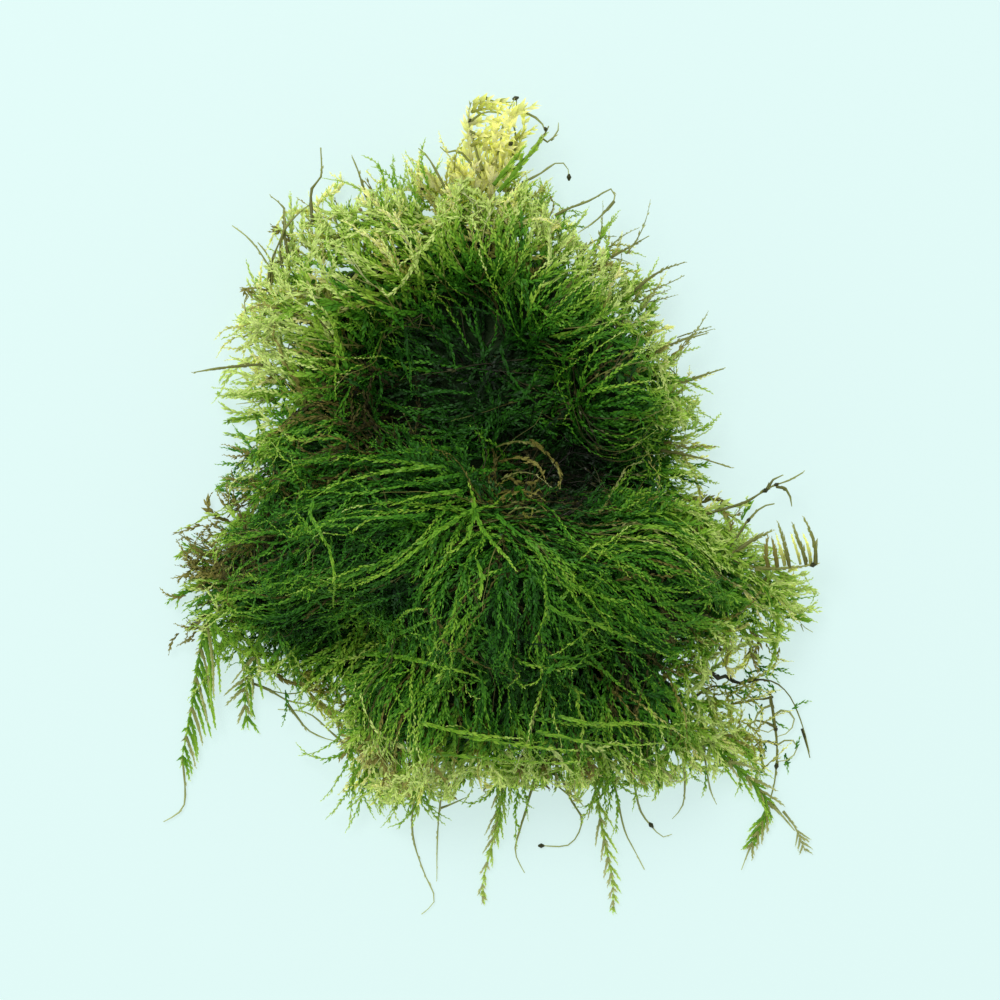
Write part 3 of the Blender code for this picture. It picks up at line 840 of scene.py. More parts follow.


# The tone lifts are painted light and shade: the negative ones paint the shade of the pocket, the hollow, the
# gaps and the parts under the roll and the bundle, and the positive ones paint the light that comes through
# the thin, sunlit rim.
PATCHES = {
    "pocket": Patch(11, 4.2, 4.6, 5.2, lift=-0.6, bare=0.25),
    "pocket_knot_side": Patch(7.5, 1.5, 3.5, 3, lift=-0.06),
    "hollow_shade": Patch(-2, 16.8, 14.5, 8.8, lift=-0.38, bare=0.15),
    "shade_top_of_hollow": Patch(-3, 24.5, 4, 4, lift=-0.12, bare=0.2),
    "shade_under_roll": Patch(18, -20.5, 7, 3.6, lift=-0.2, browned=0.25),
    "shade_left": Patch(-23, -15.8, 4.6, 2.8, lift=-0.32),
    "shade_middle": Patch(3, -15, 3.8, 6.5, lift=-0.22),
    "shade_between_strands": Patch(-10.3, -12, 3.4, 3.8, lift=-0.24),
    "shade_in_bundle": Patch(-10, 2.5, 8, 4, lift=-0.1),
    "shade_under_bundle": Patch(-17, -5, 6, 2.6, lift=-0.16),
    "shade_waist": Patch(-27, 0, 5, 5, lift=-0.06, browned=0.1),
    "gap_low_middle": Patch(0.5, -27.5, 2.6, 3, lift=-0.14),
    "old_patch_upper": Patch(-15.5, 11.6, 4.5, 4.5, lift=-0.1, browned=0.6),
    "old_rim_left": Patch(-35.5, -4, 6.5, 7, browned=0.6, bare=0.2),
    "old_knot": Patch(3.5, 2.4, 5, 4.8, lift=-0.06, browned=0.5, bleached=0.1, bare=0.2),
    "old_patch_right": Patch(21, -21, 6, 3.5, lift=0.08, browned=0.5),
    "old_patch_low": Patch(-11.6, -29, 4, 3, browned=0.4),
    "light_gap_left": Patch(-26.5, 20, 2.6, 2.6, lift=0.3, bleached=0.3, sparse=0.5),
    "light_gap_low_left": Patch(-14.5, -31, 3.5, 3, lift=0.26, bleached=0.06, sparse=0.4),
    "bright_beside_shade": Patch(-18, -17.5, 4, 4, lift=0.18),
    "bright_left": Patch(-22, 20, 6, 7, lift=0.22),
    "bright_top_left": Patch(-12, 30.5, 8, 4.5, lift=0.14),
    "sunlit_upper_left": Patch(-22, 31, 13, 11, lift=0.26, bleached=0.06, bare=0.04, sparse=0.4),
    "sunlit_left": Patch(-30, 18, 6.5, 8.5, lift=0.26, bleached=0.06, sparse=0.38),
    "sunlit_top": Patch(-1, 40, 15, 8, lift=0.34, bleached=0.18, bare=0.04, sparse=0.3),
    "sunlit_upper_right": Patch(16.5, 34, 7.5, 5.4, lift=0.44, bleached=0.15, sparse=0.75),
    "sunlit_right_rim": Patch(25.5, 20, 4.5, 13, lift=0.42, bleached=0.1, sparse=0.5),
    "bright_upper_right": Patch(12, 24.5, 8, 8, lift=0.17),
    "bright_right": Patch(20, -4, 9, 5, lift=0.06),
    "sunlit_notch": Patch(28.5, -4.5, 4.5, 4.5, lift=0.14, sparse=0.2),
    "light_under_shoulder": Patch(32.5, -20.5, 4.5, 3, lift=0.28, bleached=0.1, sparse=0.75),
    "sunlit_right": Patch(38, -9, 7, 7, lift=0.2, bleached=0.12, bare=0.06, sparse=0.25),
    "sunlit_low_right": Patch(31, -29.5, 7, 6.5, lift=0.22, bleached=0.05, sparse=0.45),
    "sunlit_low": Patch(5, -34, 26, 5, lift=0.15, sparse=0.16),
    "sunlit_low_left": Patch(-11, -36, 9, 4.5, lift=0.25, sparse=0.45),
}


def patched(place: Vector) -> float:
    """The painted light and shade that the patches add to the tone at a place."""
    return sum(patch.lift * patch.share(place) for patch in PATCHES.values())


def strongest(wish: str, place: Vector) -> float:
    """The share of shoots that are browned, bleached, bare or sparse at a place, by the patches."""
    return max(getattr(patch, wish) * patch.share(place) for patch in PATCHES.values())


# The cushion's outline on the ground, from the top end and then to the left: x, y.
RIM_MM = (
    (-4, 42), (-13, 40), (-22, 37.5), (-26.8, 31.5), (-29.3, 25.5), (-31.4, 19), (-32.2, 15), (-30.2, 11),
    (-31.5, 4), (-34.3, -2), (-38.3, -8.5), (-36.8, -14), (-32, -18.5), (-25, -23), (-19.5, -27),
    (-18, -33), (-13.5, -37.4), (-6.5, -35.2), (6, -34.5), (18, -35), (26.6, -33.6), (32.5, -31.5),
    (29.5, -27.5), (25, -22.5), (30, -17.5), (38.8, -15), (39.8, -10), (34.6, -5.8), (29.6, -1.6), (26, 3),
    (26.4, 8), (25.6, 14), (21.3, 21), (16, 28), (10.3, 33.8), (4.5, 39.5),
)  # fmt: skip


def spline_place(a: Vector, b: Vector, c: Vector, d: Vector, t: float) -> Vector:
    """A place on the Catmull-Rom stretch from b to c."""
    return 0.5 * (2 * b + (c - a) * t + (2 * a - 5 * b + 4 * c - d) * t**2 + (3 * b - a - 3 * c + d) * t**3)


class Outline:
    """The cushion's outline on the ground."""

    SAMPLES = 10

    def __init__(self) -> None:
        """Rounds the outline and makes it searchable."""
        corners = [Vector((x, y, 0)) * MM for x, y in RIM_MM]
        count = len(corners)
        loop = [
            spline_place(*(corners[(i + k) % count] for k in range(-1, 3)), j / self.SAMPLES)
            for i in range(count)
            for j in range(self.SAMPLES)
        ]
        self.places = loop
        self.search = KDTree(len(loop))
        self.outward = []
        for i, place in enumerate(loop):
            run = loop[(i + 1) % len(loop)] - loop[i - 1]
            self.outward.append(Vector((run.y, -run.x, 0)).normalized())
            self.search.insert(place, i)
        self.search.balance()

    def beyond(self, place: Vector) -> float:
        """How far a place lies outside the outline, seen from above. It is negative inside."""
        ground = Vector((place.x, place.y, 0))
        nearest, i, _ = self.search.find(ground)
        return (ground - nearest).dot(self.outward[i])


class Cushion:
    """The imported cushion's surface, over which the shoots are laid."""

    NODE = "moss_cushion"
    MERGED = 0.01 * MM
    TRIES = 9  # places that are tried for each that fits

    def __init__(self) -> None:
        """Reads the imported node."""
        bm = bmesh.new()
        bm.from_mesh(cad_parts[self.NODE].data)
        bmesh.ops.remove_doubles(bm, verts=bm.verts, dist=self.MERGED)
        bmesh.ops.triangulate(bm, faces=bm.faces)
        self.outline = Outline()
        self.tree = BVHTree.FromBMesh(bm)
        self.triangles = [[vert.co.copy() for vert in face.verts] for face in bm.faces]
        self.normals = [face.normal.copy() for face in bm.faces]
        self.areas = [face.calc_area() for face in bm.faces]
        bm.free()

    def nearest(self, place: Vector) -> Seat:
        """The nearest place on the surface, and the way that it faces there."""
        found, normal, _, _ = self.tree.find_nearest(place)
        return found, normal

    def seen_at(self, x_mm: float, y_mm: float) -> Seat:
        """The place on the surface that the camera sees over a place on the ground.

        Args:
            x_mm: The ground place's x.
            y_mm: Its y.

        Returns:
            The place, or the ground place where the cushion isn't in the way, and the way that it faces.
        """
        ground = Vector((x_mm, y_mm, 0)) * MM
        found, normal, _, _ = self.tree.ray_cast(CAMERA_PLACE, ground - CAMERA_PLACE)
        return (ground, UP) if found is None else (found, normal)

    def scatter(self, spacing: float, rng: random.Random) -> Iterator[Seat]:
        """Yields places all over the surface that keep a distance to each other.

        Args:
            spacing: The distance.
            rng: The source of chance.

        Yields:
            A place, and the way that the surface faces there.
        """
        wanted = int(sum(self.areas) / spacing**2)
        taken: dict[tuple[int, int, int], list[Vector]] = {}
        for k in rng.choices(range(len(self.areas)), weights=self.areas, k=wanted * self.TRIES):
            a, b, c = self.triangles[k]
            s, t = rng.random(), rng.random()
            if s + t > 1:
                s, t = 1 - s, 1 - t
            place = a + (b - a) * s + (c - a) * t
            cell = [int(value // spacing) for value in place]
            around = product(*((i - 1, i, i + 1) for i in cell))
            if all((other - place).length > spacing for near in around for other in taken.get(near, ())):
                taken.setdefault(tuple(cell), []).append(place)
                yield place, self.normals[k]


# ---- the cushion's moss


@dataclass(frozen=True)
class Layer:
    """A layer of shoots of the cushion.

    Attributes:
        spacing: Between the middles of its shoots.
        reach: Least and most length of a shoot.
        root_depth: How deep under the surface a shoot starts, at least and most.
        tip_height: How high over the surface it ends, at least and most.
        stray: How far a shoot strays from the combing, in degrees.
        side: Length of its side shoots.
        branched: Share of its shoots that have any.
        tone: Its tone before the patches'.
        gain: How much lighter its tips are than its roots: partly younger growth, partly painted shade on the
            roots buried in the clump.
        mottle: How much two shoots' tones differ.
        faded: Share of its shoots that are bleached where light comes through the moss; their pale colour is
            partly painted light.
    """

    spacing: float
    reach: tuple[float, float]
    root_depth: tuple[float, float]
    tip_height: tuple[float, float]
    stray: float
    side: float
    branched: float
    tone: float
    gain: float
    mottle: float
    faded: float = 0.0


# The layers' tones rise from the lowest to the highest: partly older growth below, partly painted shade under
# the others and painted light on top.
LAYERS = (
    # Dark shoots, under all others.
    Layer(
        spacing=3.5 * MM, reach=mm(8, 13), root_depth=mm(4, 5), tip_height=mm(-2.6, -1.2),
        stray=50, side=5 * MM, branched=1.0, tone=0.28, gain=0.06, mottle=0.05, faded=0.5,
    ),
    # The bulk of the moss.
    Layer(
        spacing=2.7 * MM, reach=mm(9, 16), root_depth=mm(2.4, 4.4), tip_height=mm(-1.2, 0.2),
        stray=26, side=6 * MM, branched=0.8, tone=0.36, gain=0.12, mottle=0.06, faded=0.25,
    ),
    # Lighter shoots on top of it.
    Layer(
        spacing=2.9 * MM, reach=mm(10, 18), root_depth=mm(1.2, 3.4), tip_height=mm(0, 1.2),
        stray=18, side=6 * MM, branched=1.0, tone=0.42, gain=0.16, mottle=0.08,
    ),
    # Strands without side shoots, which lie combed over all that.
    Layer(
        spacing=2.2 * MM, reach=mm(12, 24), root_depth=mm(0.8, 3), tip_height=mm(0.2, 1.6),
        stray=14, side=0, branched=0.0, tone=0.455, gain=0.18, mottle=0.12,
    ),
    # Light threads that cross them.
    Layer(
        spacing=5.5 * MM, reach=mm(9, 20), root_depth=mm(0.2, 1.4), tip_height=mm(0.8, 1.8),
        stray=50, side=0, branched=0.0, tone=0.56, gain=0.14, mottle=0.1,
    ),
)  # fmt: skip


def turned(way: Vector, angle: float) -> Vector:
    """A level direction turned to the left by an angle."""
    x = way.x * math.cos(angle) - way.y * math.sin(angle)
    y = way.x * math.sin(angle) + way.y * math.cos(angle)
    return Vector((x, y, 0)).normalized()


@dataclass
class MossSward:
    """All shoots that are interwoven in the cushion, grown as one piece for each part of it.

    Attributes:
        cushion: The surface that they grow over.
        tree: The node tree that they grow with.
        rng: The source of chance.
    """

    cushion: Cushion
    tree: GrowthTree
    rng: random.Random = field(default_factory=partial(random.Random, 23))

    STRIDE = 1.8 * MM
    STEEP = 0.35  # a side of the cushion faces up by less than this
    UNDERSIDE = -0.3  # and its underside by less than this
    ALONG = 0.3  # share of a heading that lies along the surface, or the shoot goes on through the air
    DROOP = 0.12  # how steeply it sinks there
    FREE_REACH = mm(0.4, 4.6)  # how far a shoot may leave the outline, least and most
    FEW_LEAVE = 1.5  # how strongly the least is favoured
    ROOT_INSIDE = 2 * MM  # how far inside the outline its root stays
    GROUND = 0.4 * MM  # its lowest place
    RISE = 1.3  # how fast it comes up out of the cushion
    SIDEWAYS = 1.2  # how far it hangs straight down a side instead of along the combing
    ASTRAY = 0.07  # share of shoots that lie across the others
    ASTRAY_TURN = (40, 110)  # in degrees
    SIZES = (0.8, 1.1)
    SIDES = (0.6, 1.2)  # length of side shoots beside the layer's
    ANYWHERE = {"browned": 0.04, "bleached": 0.005, "bare": 0.03}  # share of shoots outside all patches
    BARE_LEAVES = 0.12  # share of its leaves that a bare stem still has
    OLD_LEAVES = 0.8  # and that a browned or bleached shoot has
    RIM_LIFT = 0.3  # how much lighter the moss is at its rim, where light comes through it
    RIM_WIDTH = 5 * MM
    RIM_SIDES = 0.6  # how long side shoots are on a shoot that leaves the outline, beside the usual
    FRINGE_SHOOTS = 2  # at each place of the outline
    FRINGE_INSIDE = mm(2, 8)  # how far inside the outline a shoot of the fringe starts
    FRINGE_OUTSIDE = mm(-2, 2.5)  # how far outside it ends
    FRINGE_HEIGHT = mm(0.8, 5.5)
    FRINGE_GROUND = 0.5 * MM
    FRINGE_SINK = 0.2  # how steeply it sinks, at most
    FRINGE_COMBED = 0.4  # how far it leans from straight out to the combing
    FRINGE_STRAY = 0.3  # in radians
    FRINGE_BEND = 0.09
    FRINGE_STRIDES = 5
    FRINGE_TONE = 0.5
    FRINGE_MOTTLE = 0.08
    FRINGE_FADED = 0.2  # share of it that is bleached where light comes through, partly as painted light
    FRINGE_THINNED = 0.3  # share of it that is missing there
    LIT = 0.3  # the painted light, in tone, at which light comes fully through the moss
    LIT_SIZE = 0.4  # how much larger the leaves grow there
    REGIONS = {
        "moss_crown_left": (-23, 27),
        "moss_crown_top": (-5, 37),
        "moss_crown_right": (14, 27),
        "moss_hollow": (2, 13),
        "moss_waist_left": (-25, 8),
        "moss_shoulder_left": (-29, -10),
        "moss_roll_left": (-10, -8),
        "moss_roll_right": (12, -10),
        "moss_shoulder_right": (31, -11),
        "moss_skirt_left": (-9, -30),
        "moss_skirt_right": (16, -30),
    }

    def lift(self, place: Vector) -> float:
        """The painted light and shade at a place: the patches', and painted light where the moss thins
        towards its rim.
        """
        inside = -self.cushion.outline.beyond(place)
        return self.RIM_LIFT * min(1.0, max(0.0, 1 - inside / self.RIM_WIDTH)) + patched(place)

    def lit(self, place: Vector) -> float:
        """How much light comes through the moss at a place, from 0 to 1."""
        return min(1.0, max(0.0, self.lift(place)) / self.LIT)

    def drawn_size(self, lit: float) -> float:
        """The size of a shoot's leaves, larger where light comes through."""
        return self.rng.uniform(*self.SIZES) * (1 + self.LIT_SIZE * lit)

    def dressed(self, place: Vector, faded: float) -> tuple[Growth, float] | None:
        """What the patches make of a shoot.

        Args:
            place: Its middle.
            faded: The chance that it is bleached, which partly stands for painted light.

        Returns:
            Its growth and the share of leaves that it has, or None where it is missing.
        """
        if self.rng.random() < strongest("sparse", place):
            return None
        draw = self.rng.random()
        for wish, anywhere in self.ANYWHERE.items():
            growth = Growth[wish.upper()]
            if growth is Growth.BLEACHED:
                anywhere += faded
            chance = anywhere + strongest(wish, place)
            if draw < chance:
                return growth, self.BARE_LEAVES if growth is Growth.BARE else self.OLD_LEAVES
            draw -= chance
        return Growth.LIVING, 1.0

    def walk(self, start: Vector, heading: Vector, reach: float, freely: float) -> list[Seat]:
        """Walks over the surface, and off its rim.

        Args:
            start: Where the walk starts.
            heading: The level direction in which it starts.
            reach: How far it goes.
            freely: How far it may leave the outline.

        Returns:
            The places that it passes and the way that the surface faces there.
        """
        place, normal = self.cushion.nearest(start)
        walked = []
        for _ in range(max(2, round(reach / self.STRIDE))):
            along = heading - heading.project(normal)
            if normal.z < self.STEEP or along.length < self.ALONG:
                place, normal = place + (heading - self.DROOP * UP) * self.STRIDE, UP
            else:
                place, normal = self.cushion.nearest(place + along.normalized() * self.STRIDE)
            if self.cushion.outline.beyond(place) > freely:
                break
            walked.append((place, normal))
        return walked

    def headed(self, place: Vector, normal: Vector, stray: float) -> Vector:
        """The level direction in which a shoot lies.

        Args:
            place: Its middle.
            normal: The way that the surface faces there.
            stray: How far it strays from the combing, in degrees.

        Returns:
            The direction.
        """
        heading = combed(place)
        if normal.z < self.STEEP:
            outward = Vector((normal.x, normal.y, 0)).normalized()
            heading = (heading + self.SIDEWAYS * outward).normalized()
        turn = math.radians(self.rng.gauss(0, stray))
        if self.rng.random() < self.ASTRAY:
            turn += self.rng.choice((-1, 1)) * math.radians(self.rng.uniform(*self.ASTRAY_TURN))
        return turned(heading, turn)

    def laid(self, place: Vector, normal: Vector, layer: Layer) -> Line | None:
        """Lays one shoot over the surface.

        Args:
            place: Its middle.
            normal: The way that the surface faces there.
            layer: Its layer.

        Returns:
            Its line, or None where the patches leave it out.
        """
        rng = self.rng
        lit = self.lit(place)
        found = self.dressed(place, layer.faded * lit)
        if found is None or normal.z < self.UNDERSIDE:
            return None
        heading = self.headed(place, normal, layer.stray)
        reach = rng.uniform(*layer.reach)
        least, most = self.FREE_REACH
        freely = least + (most - least) * rng.random() ** self.FEW_LEAVE
        back = self.walk(place, -heading, reach / 2, -self.ROOT_INSIDE)[::-1]
        course = [*back, (place, normal), *self.walk(place, heading, reach / 2, freely)]
        if len(course) < 3:
            return None
        depth = rng.uniform(*layer.root_depth)
        height = rng.uniform(*layer.tip_height)
        tone = layer.tone + rng.gauss(0, layer.mottle)
        places, tones = [], []
        for i, (at, way) in enumerate(course):
            share = i / (len(course) - 1)
            laid = at + way * (height * share - depth * (1 - share) ** self.RISE)
            laid.z = max(laid.z, self.GROUND)
            places.append(laid)
            # A point's tone carries the painted light and shade of its place.
            tones.append(tone + layer.gain * share + self.lift(laid))
        side = layer.side * rng.uniform(*self.SIDES) if rng.random() < layer.branched else 0.0
        if self.cushion.outline.beyond(places[-1]) > 0:
            side *= self.RIM_SIDES
        growth, leafy = found
        return Line(places, [way for _, way in course], tones, growth, side, leafy, self.drawn_size(lit))

    def fringe(self) -> Iterator[Line]:
        """Yields the shoots that leave the rim, all round."""
        rng = self.rng
        outline = self.cushion.outline
        everywhere = zip(outline.places, outline.outward, strict=True)
        for (place, outward), _ in product(everywhere, range(self.FRINGE_SHOOTS)):
            inside = rng.uniform(*self.FRINGE_INSIDE)
            root = place - outward * inside
            root.z = rng.uniform(*self.FRINGE_HEIGHT)
            lit = self.lit(root)
            found = self.dressed(root, self.FRINGE_FADED * lit)
            if found is None or rng.random() < self.FRINGE_THINNED * lit:
                continue
            way = (outward + self.FRINGE_COMBED * combed(root)).normalized()
            way = turned(way, rng.gauss(0, self.FRINGE_STRAY))
            bend = rng.gauss(0, self.FRINGE_BEND)
            stride = (inside + rng.uniform(*self.FRINGE_OUTSIDE)) / self.FRINGE_STRIDES
            places = [root]
            for _ in range(self.FRINGE_STRIDES):
                way = turned(way, bend)
                places.append(places[-1] + way * stride)
                sunk = places[-1].z - rng.uniform(0, self.FRINGE_SINK) * stride
                places[-1].z = max(self.FRINGE_GROUND, sunk)
            tone = self.FRINGE_TONE + rng.gauss(0, self.FRINGE_MOTTLE)
            # A point's tone carries the painted light and shade of its place.
            tones = [tone + self.lift(at) for at in places]
            growth, leafy = found
            yield Line(places, [UP] * len(places), tones, growth, leafy=leafy, size=self.drawn_size(lit))

    def region_of(self, line: Line) -> str:
        """The part of the cushion that a shoot belongs to."""
        middle = (line.places[len(line.places) // 2] / MM).xy
        return min(self.REGIONS, key=lambda name: (Vector(self.REGIONS[name]) - middle).length)

    def build(self) -> None:
        """Grows the moss."""
        lines: dict[str, list[Line]] = {name: [] for name in self.REGIONS}
        for layer in LAYERS:
            for place, normal in self.cushion.scatter(layer.spacing, self.rng):
                line = self.laid(place, normal, layer)
                if line:
                    lines[self.region_of(line)].append(line)
        for line in self.fringe():
            lines[self.region_of(line)].append(line)
        for seed, (name, grown) in enumerate(lines.items()):
            settle(self.tree.grow(name, grown, Habit(), seed), "moss_green", Cushion.NODE)


@dataclass(frozen=True)
class Heart:
    """The old stems matted together in the cushion's middle, which close the gaps between the shoots with a
    dark surface that is partly painted shade.

    Attributes:
        under_surface: How far it stays under the cushion's surface.
        grain: Size of the grid that it is melted together on.
        relief: Height of its unevenness.
        relief_size: Distance between two rises.
        sole: Height of its flat underside.
        rim_height: Height of its rim.
        rim_inset: How far its rim lies inside the cushion's outline.
        thin_inset: How much further where the moss is missing.
        cell: Size of the cells that its low slab is made of.
        overlap: Width of a block beside its cell.
        melting: Smoothing passes.
        seat: A lobe is widest at this share of its height.
    """

    under_surface: float = 3.4 * MM
    grain: float = 1.4 * MM
    relief: float = 1.1 * MM
    relief_size: float = 2.6 * MM
    sole: float = 0.5 * MM
    rim_height: float = 4.2 * MM
    rim_inset: float = 4 * MM
    thin_inset: float = 20 * MM
    cell: float = 1.8 * MM
    overlap: float = 1.2
    melting: int = 6
    seat: float = 0.3

    # The short shoots on its sides, which are seen from low beside the clump.
    STUBBLE_STEEP = 0.7  # a side faces up or down by less than this
    STUBBLE_WIDTH = 15 * MM  # how far inside the outline they reach
    STUBBLE_HEIGHT = 15 * MM  # and how far up
    STUBBLE_AREA = 4.6 * MM * MM  # for each shoot
    STUBBLE_OUTWARD = 0.45  # how far a shoot stands off
    STUBBLE_STRAY = 0.5  # how far it turns to one side
    STUBBLE_HANG = (0.3, 0.9)  # how far it hangs down
    STUBBLE_STEP = mm(0.9, 1.3)
    STUBBLE_STRIDES = 4
    STUBBLE_TONE = 0.42
    STUBBLE_MOTTLE = 0.07
    STUBBLE_GAIN = 0.03  # how much lighter it gets at a step
    STUBBLE_BARE = 0.12  # share of shoots without leaves
    STUBBLE_LEAVES = 0.9
    STUBBLE_SIZES = (1.0, 1.35)

    # The cushion's lobes in mm: x, y, half widths along x and y, height, and how much further in they stay.
    LOBES = (
        (-1, 17, 17, 14, 10.5, -0.6),
        (-20.5, 22, 8, 12, 17, 3),
        (-13, 30.5, 9.5, 7.5, 18, 2.6),
        (-0.5, 31.5, 10.5, 6.5, 18, 0.8),
        (-7.5, 30.5, 7.5, 7, 16.5, 1),
        (-17, 26.5, 8, 8, 16.5, 1.8),
        (9.5, 24.5, 8.5, 7.5, 19.5, -0.2),
        (15.5, 15, 7, 10.5, 19.5, -0.2),
        (-20, 6, 8, 9, 17.5, 0.4),
        (-25, -9, 8.5, 8, 18.5, -0.4),
        (-11, -4.5, 15, 10.5, 27, 0),
        (3, -11, 16, 13, 31, 0),
        (17, -10, 13, 11.5, 26, 0),
        (28.5, -12, 7.5, 6, 14.5, 0.2),
        (-7.5, -26, 9.5, 9, 20, 0.4),
        (6, -26, 12, 8.5, 22, 0),
        (19, -25.5, 8.5, 8, 18, 0),
    )

    def slab(self, outline: Outline) -> Iterator[Vector]:
        """Yields the cells of the low slab that reaches towards the rim, further where the moss is dense."""
        far = round(CAD_REACH / self.cell)
        for i, j in product(range(-far, far + 1), repeat=2):
            place = Vector((i, j, 0)) * self.cell
            if outline.beyond(place) < -(self.rim_inset + strongest("sparse", place) * self.thin_inset):
                yield place

    def build(self, outline: Outline, tree: GrowthTree) -> None:
        """Builds the heart and the short shoots on it.

        Args:
            outline: The cushion's outline.
            tree: The node tree that they grow with.
        """
        bm = bmesh.new()
        width = self.overlap * self.cell
        block = Matrix.Diagonal((width, width, 2 * self.rim_height, 1))
        for place in self.slab(outline):
            bmesh.ops.create_cube(bm, size=1.0, matrix=Matrix.Translation(place) @ block)
        for x, y, half_x, half_y, height, further in self.LOBES:
            inset = self.under_surface + further * MM
            centre = Vector((x, y, self.seat * height)) * MM
            radii = [size * MM - inset for size in (half_x, half_y, (1 - self.seat) * height)]
            lobe = bmesh.ops.create_icosphere(bm, subdivisions=3, radius=1.0)
            for vert in lobe["verts"]:
                out = [radius * value for radius, value in zip(radii, vert.co, strict=True)]
                vert.co = centre + Vector(out)
        piece = new_object("matted_heart", bm)
        fuse = piece.modifiers.new("fuse", "REMESH")
        fuse.mode = "VOXEL"
        fuse.voxel_size = self.grain
        melt = piece.modifiers.new("melt", "SMOOTH")
        melt.iterations = self.melting
        graph = bpy.context.evaluated_depsgraph_get()
        bm = bmesh.new()
        bm.from_mesh(piece.evaluated_get(graph).to_mesh())
        bpy.data.objects.remove(piece)
        for vert in bm.verts:
            rise = noise.fractal(vert.co / self.relief_size, 0.6, 2.0, 3)
            vert.co += vert.normal * rise * self.relief
        whole = [*bm.verts, *bm.edges, *bm.faces]
        cut = bmesh.ops.bisect_plane(bm, geom=whole, plane_co=UP * self.sole, plane_no=UP, clear_inner=True)
        rim = [part for part in cut["geom_cut"] if isinstance(part, bmesh.types.BMEdge)]
        bmesh.ops.holes_fill(bm, edges=rim, sides=0)
        bmesh.ops.triangulate(bm, faces=bm.faces)
        bmesh.ops.recalc_face_normals(bm, faces=bm.faces)
        piece = new_object("matted_heart", bm)
        piece.data.shade_smooth()
        piece.data.materials.append(MattedStems().material())
        settle(piece, "moss_green", Cushion.NODE)
        inner = tree.grow("moss_inner", self.stubble(piece, outline), Habit(), 47)
        settle(inner, "moss_green", Cushion.NODE)

    def stubble(self, piece: bpy.types.Object, outline: Outline) -> Iterator[Line]:
        """Yields short shoots on the heart's sides, which hang down them near the clump's rim.

        Args:
            piece: The heart.
            outline: The cushion's outline.

        Yields:
            Their lines.
        """
        rng = random.Random(31)
        for face in piece.data.polygons:
            place, way = face.center.copy(), face.normal.copy()
            hidden = abs(way.z) > self.STUBBLE_STEEP or outline.beyond(place) < -self.STUBBLE_WIDTH
            if hidden or place.z > self.STUBBLE_HEIGHT or rng.random() > face.area / self.STUBBLE_AREA:
                continue
            across = Vector((-way.y, way.x, 0)) * rng.gauss(0, self.STUBBLE_STRAY)
            step = self.STUBBLE_OUTWARD * way + across - rng.uniform(*self.STUBBLE_HANG) * UP
            step = step.normalized() * rng.uniform(*self.STUBBLE_STEP)
            places = [place]
            for _ in range(self.STUBBLE_STRIDES):
                places.append(places[-1] + step)
                places[-1].z = max(self.sole, places[-1].z)
            if outline.beyond(places[-1]) > 0:
                continue
            # The patches add their painted light and shade to the tone.
            tone = rng.gauss(self.STUBBLE_TONE, self.STUBBLE_MOTTLE) + patched(place)
            growth = Growth.BARE if rng.random() < self.STUBBLE_BARE else Growth.LIVING
            tones = [tone + self.STUBBLE_GAIN * i for i in range(len(places))]
            size = rng.uniform(*self.STUBBLE_SIZES)
            yield Line(places, [UP] * len(places), tones, growth, leafy=self.STUBBLE_LEAVES, size=size)


# ---- single shoots and threads


@dataclass(frozen=True)
class Look:
    """How a shoot that is laid one by one looks.

    Attributes:
        growth: What covers it.
        tone: Tone at the root.
        tip_tone: Tone at the tip.
        side: Length of its side shoots.
        leafy: Share of its leaves that it still has.
        size: Size of its stem and leaves beside the usual one.
    """

    growth: Growth
    tone: float
    tip_tone: float
    side: float = 0.0
    leafy: float = 1.0
    size: float = 1.0

    def line(self, places: list[Vector], faces: list[Vector] | None = None) -> Line:
        """Puts the look on a line.

        Args:
            places: Its points, root first.
            faces: The ways that its fan faces, or None where it lies level.

        Returns:
            The line.
        """
        faces = faces or [UP] * len(places)
        gain = (self.tip_tone - self.tone) / (len(places) - 1)
        tones = [self.tone + gain * i for i in range(len(places))]
        return Line(places, faces, tones, self.growth, self.side, self.leafy, self.size)


THICK_SHOOT = Look(Growth.LIVING, 0.78, 0.9, side=2.6 * MM, size=1.4)
TAN_STEM = Look(Growth.BARE, 0.7, 0.95, leafy=0.15, size=0.85)
OLIVE_STEM = Look(Growth.BARE, 0.55, 0.8, leafy=0.35)
DARK_STEM = Look(Growth.BARE, 0.2, 0.75, leafy=0.15, size=0.9)
DARK_TWIG = Look(Growth.BARE, 0.12, 0.3, leafy=0.2, size=1.5)
PALE_STEM = Look(Growth.BARE, 0.85, 1.0, leafy=0.15, size=0.75)
RIM_SHOOT = Look(Growth.BARE, 0.55, 0.78, leafy=0.7)
TOP_SHOOT = Look(Growth.LIVING, 0.72, 0.86, side=2.6 * MM, size=1.4)
KNOT = Look(Growth.BARE, 0.3, 0.3, leafy=0.0, size=1.5)
COMB_BAR = Look(Growth.BARE, 0.6, 0.82, size=1.2)
CREAM_BAR = Look(Growth.BLEACHED, 0.7, 1.0)
BROWN_BAR = Look(Growth.BROWNED, 0.8, 0.95, size=1.2)

SINGLE_HABIT = Habit(
    wander=0.25 * MM, stem_radius=0.2 * MM, stem_sides=6, leaf_spacing=0.36 * MM, leaf_length=1 * MM
)

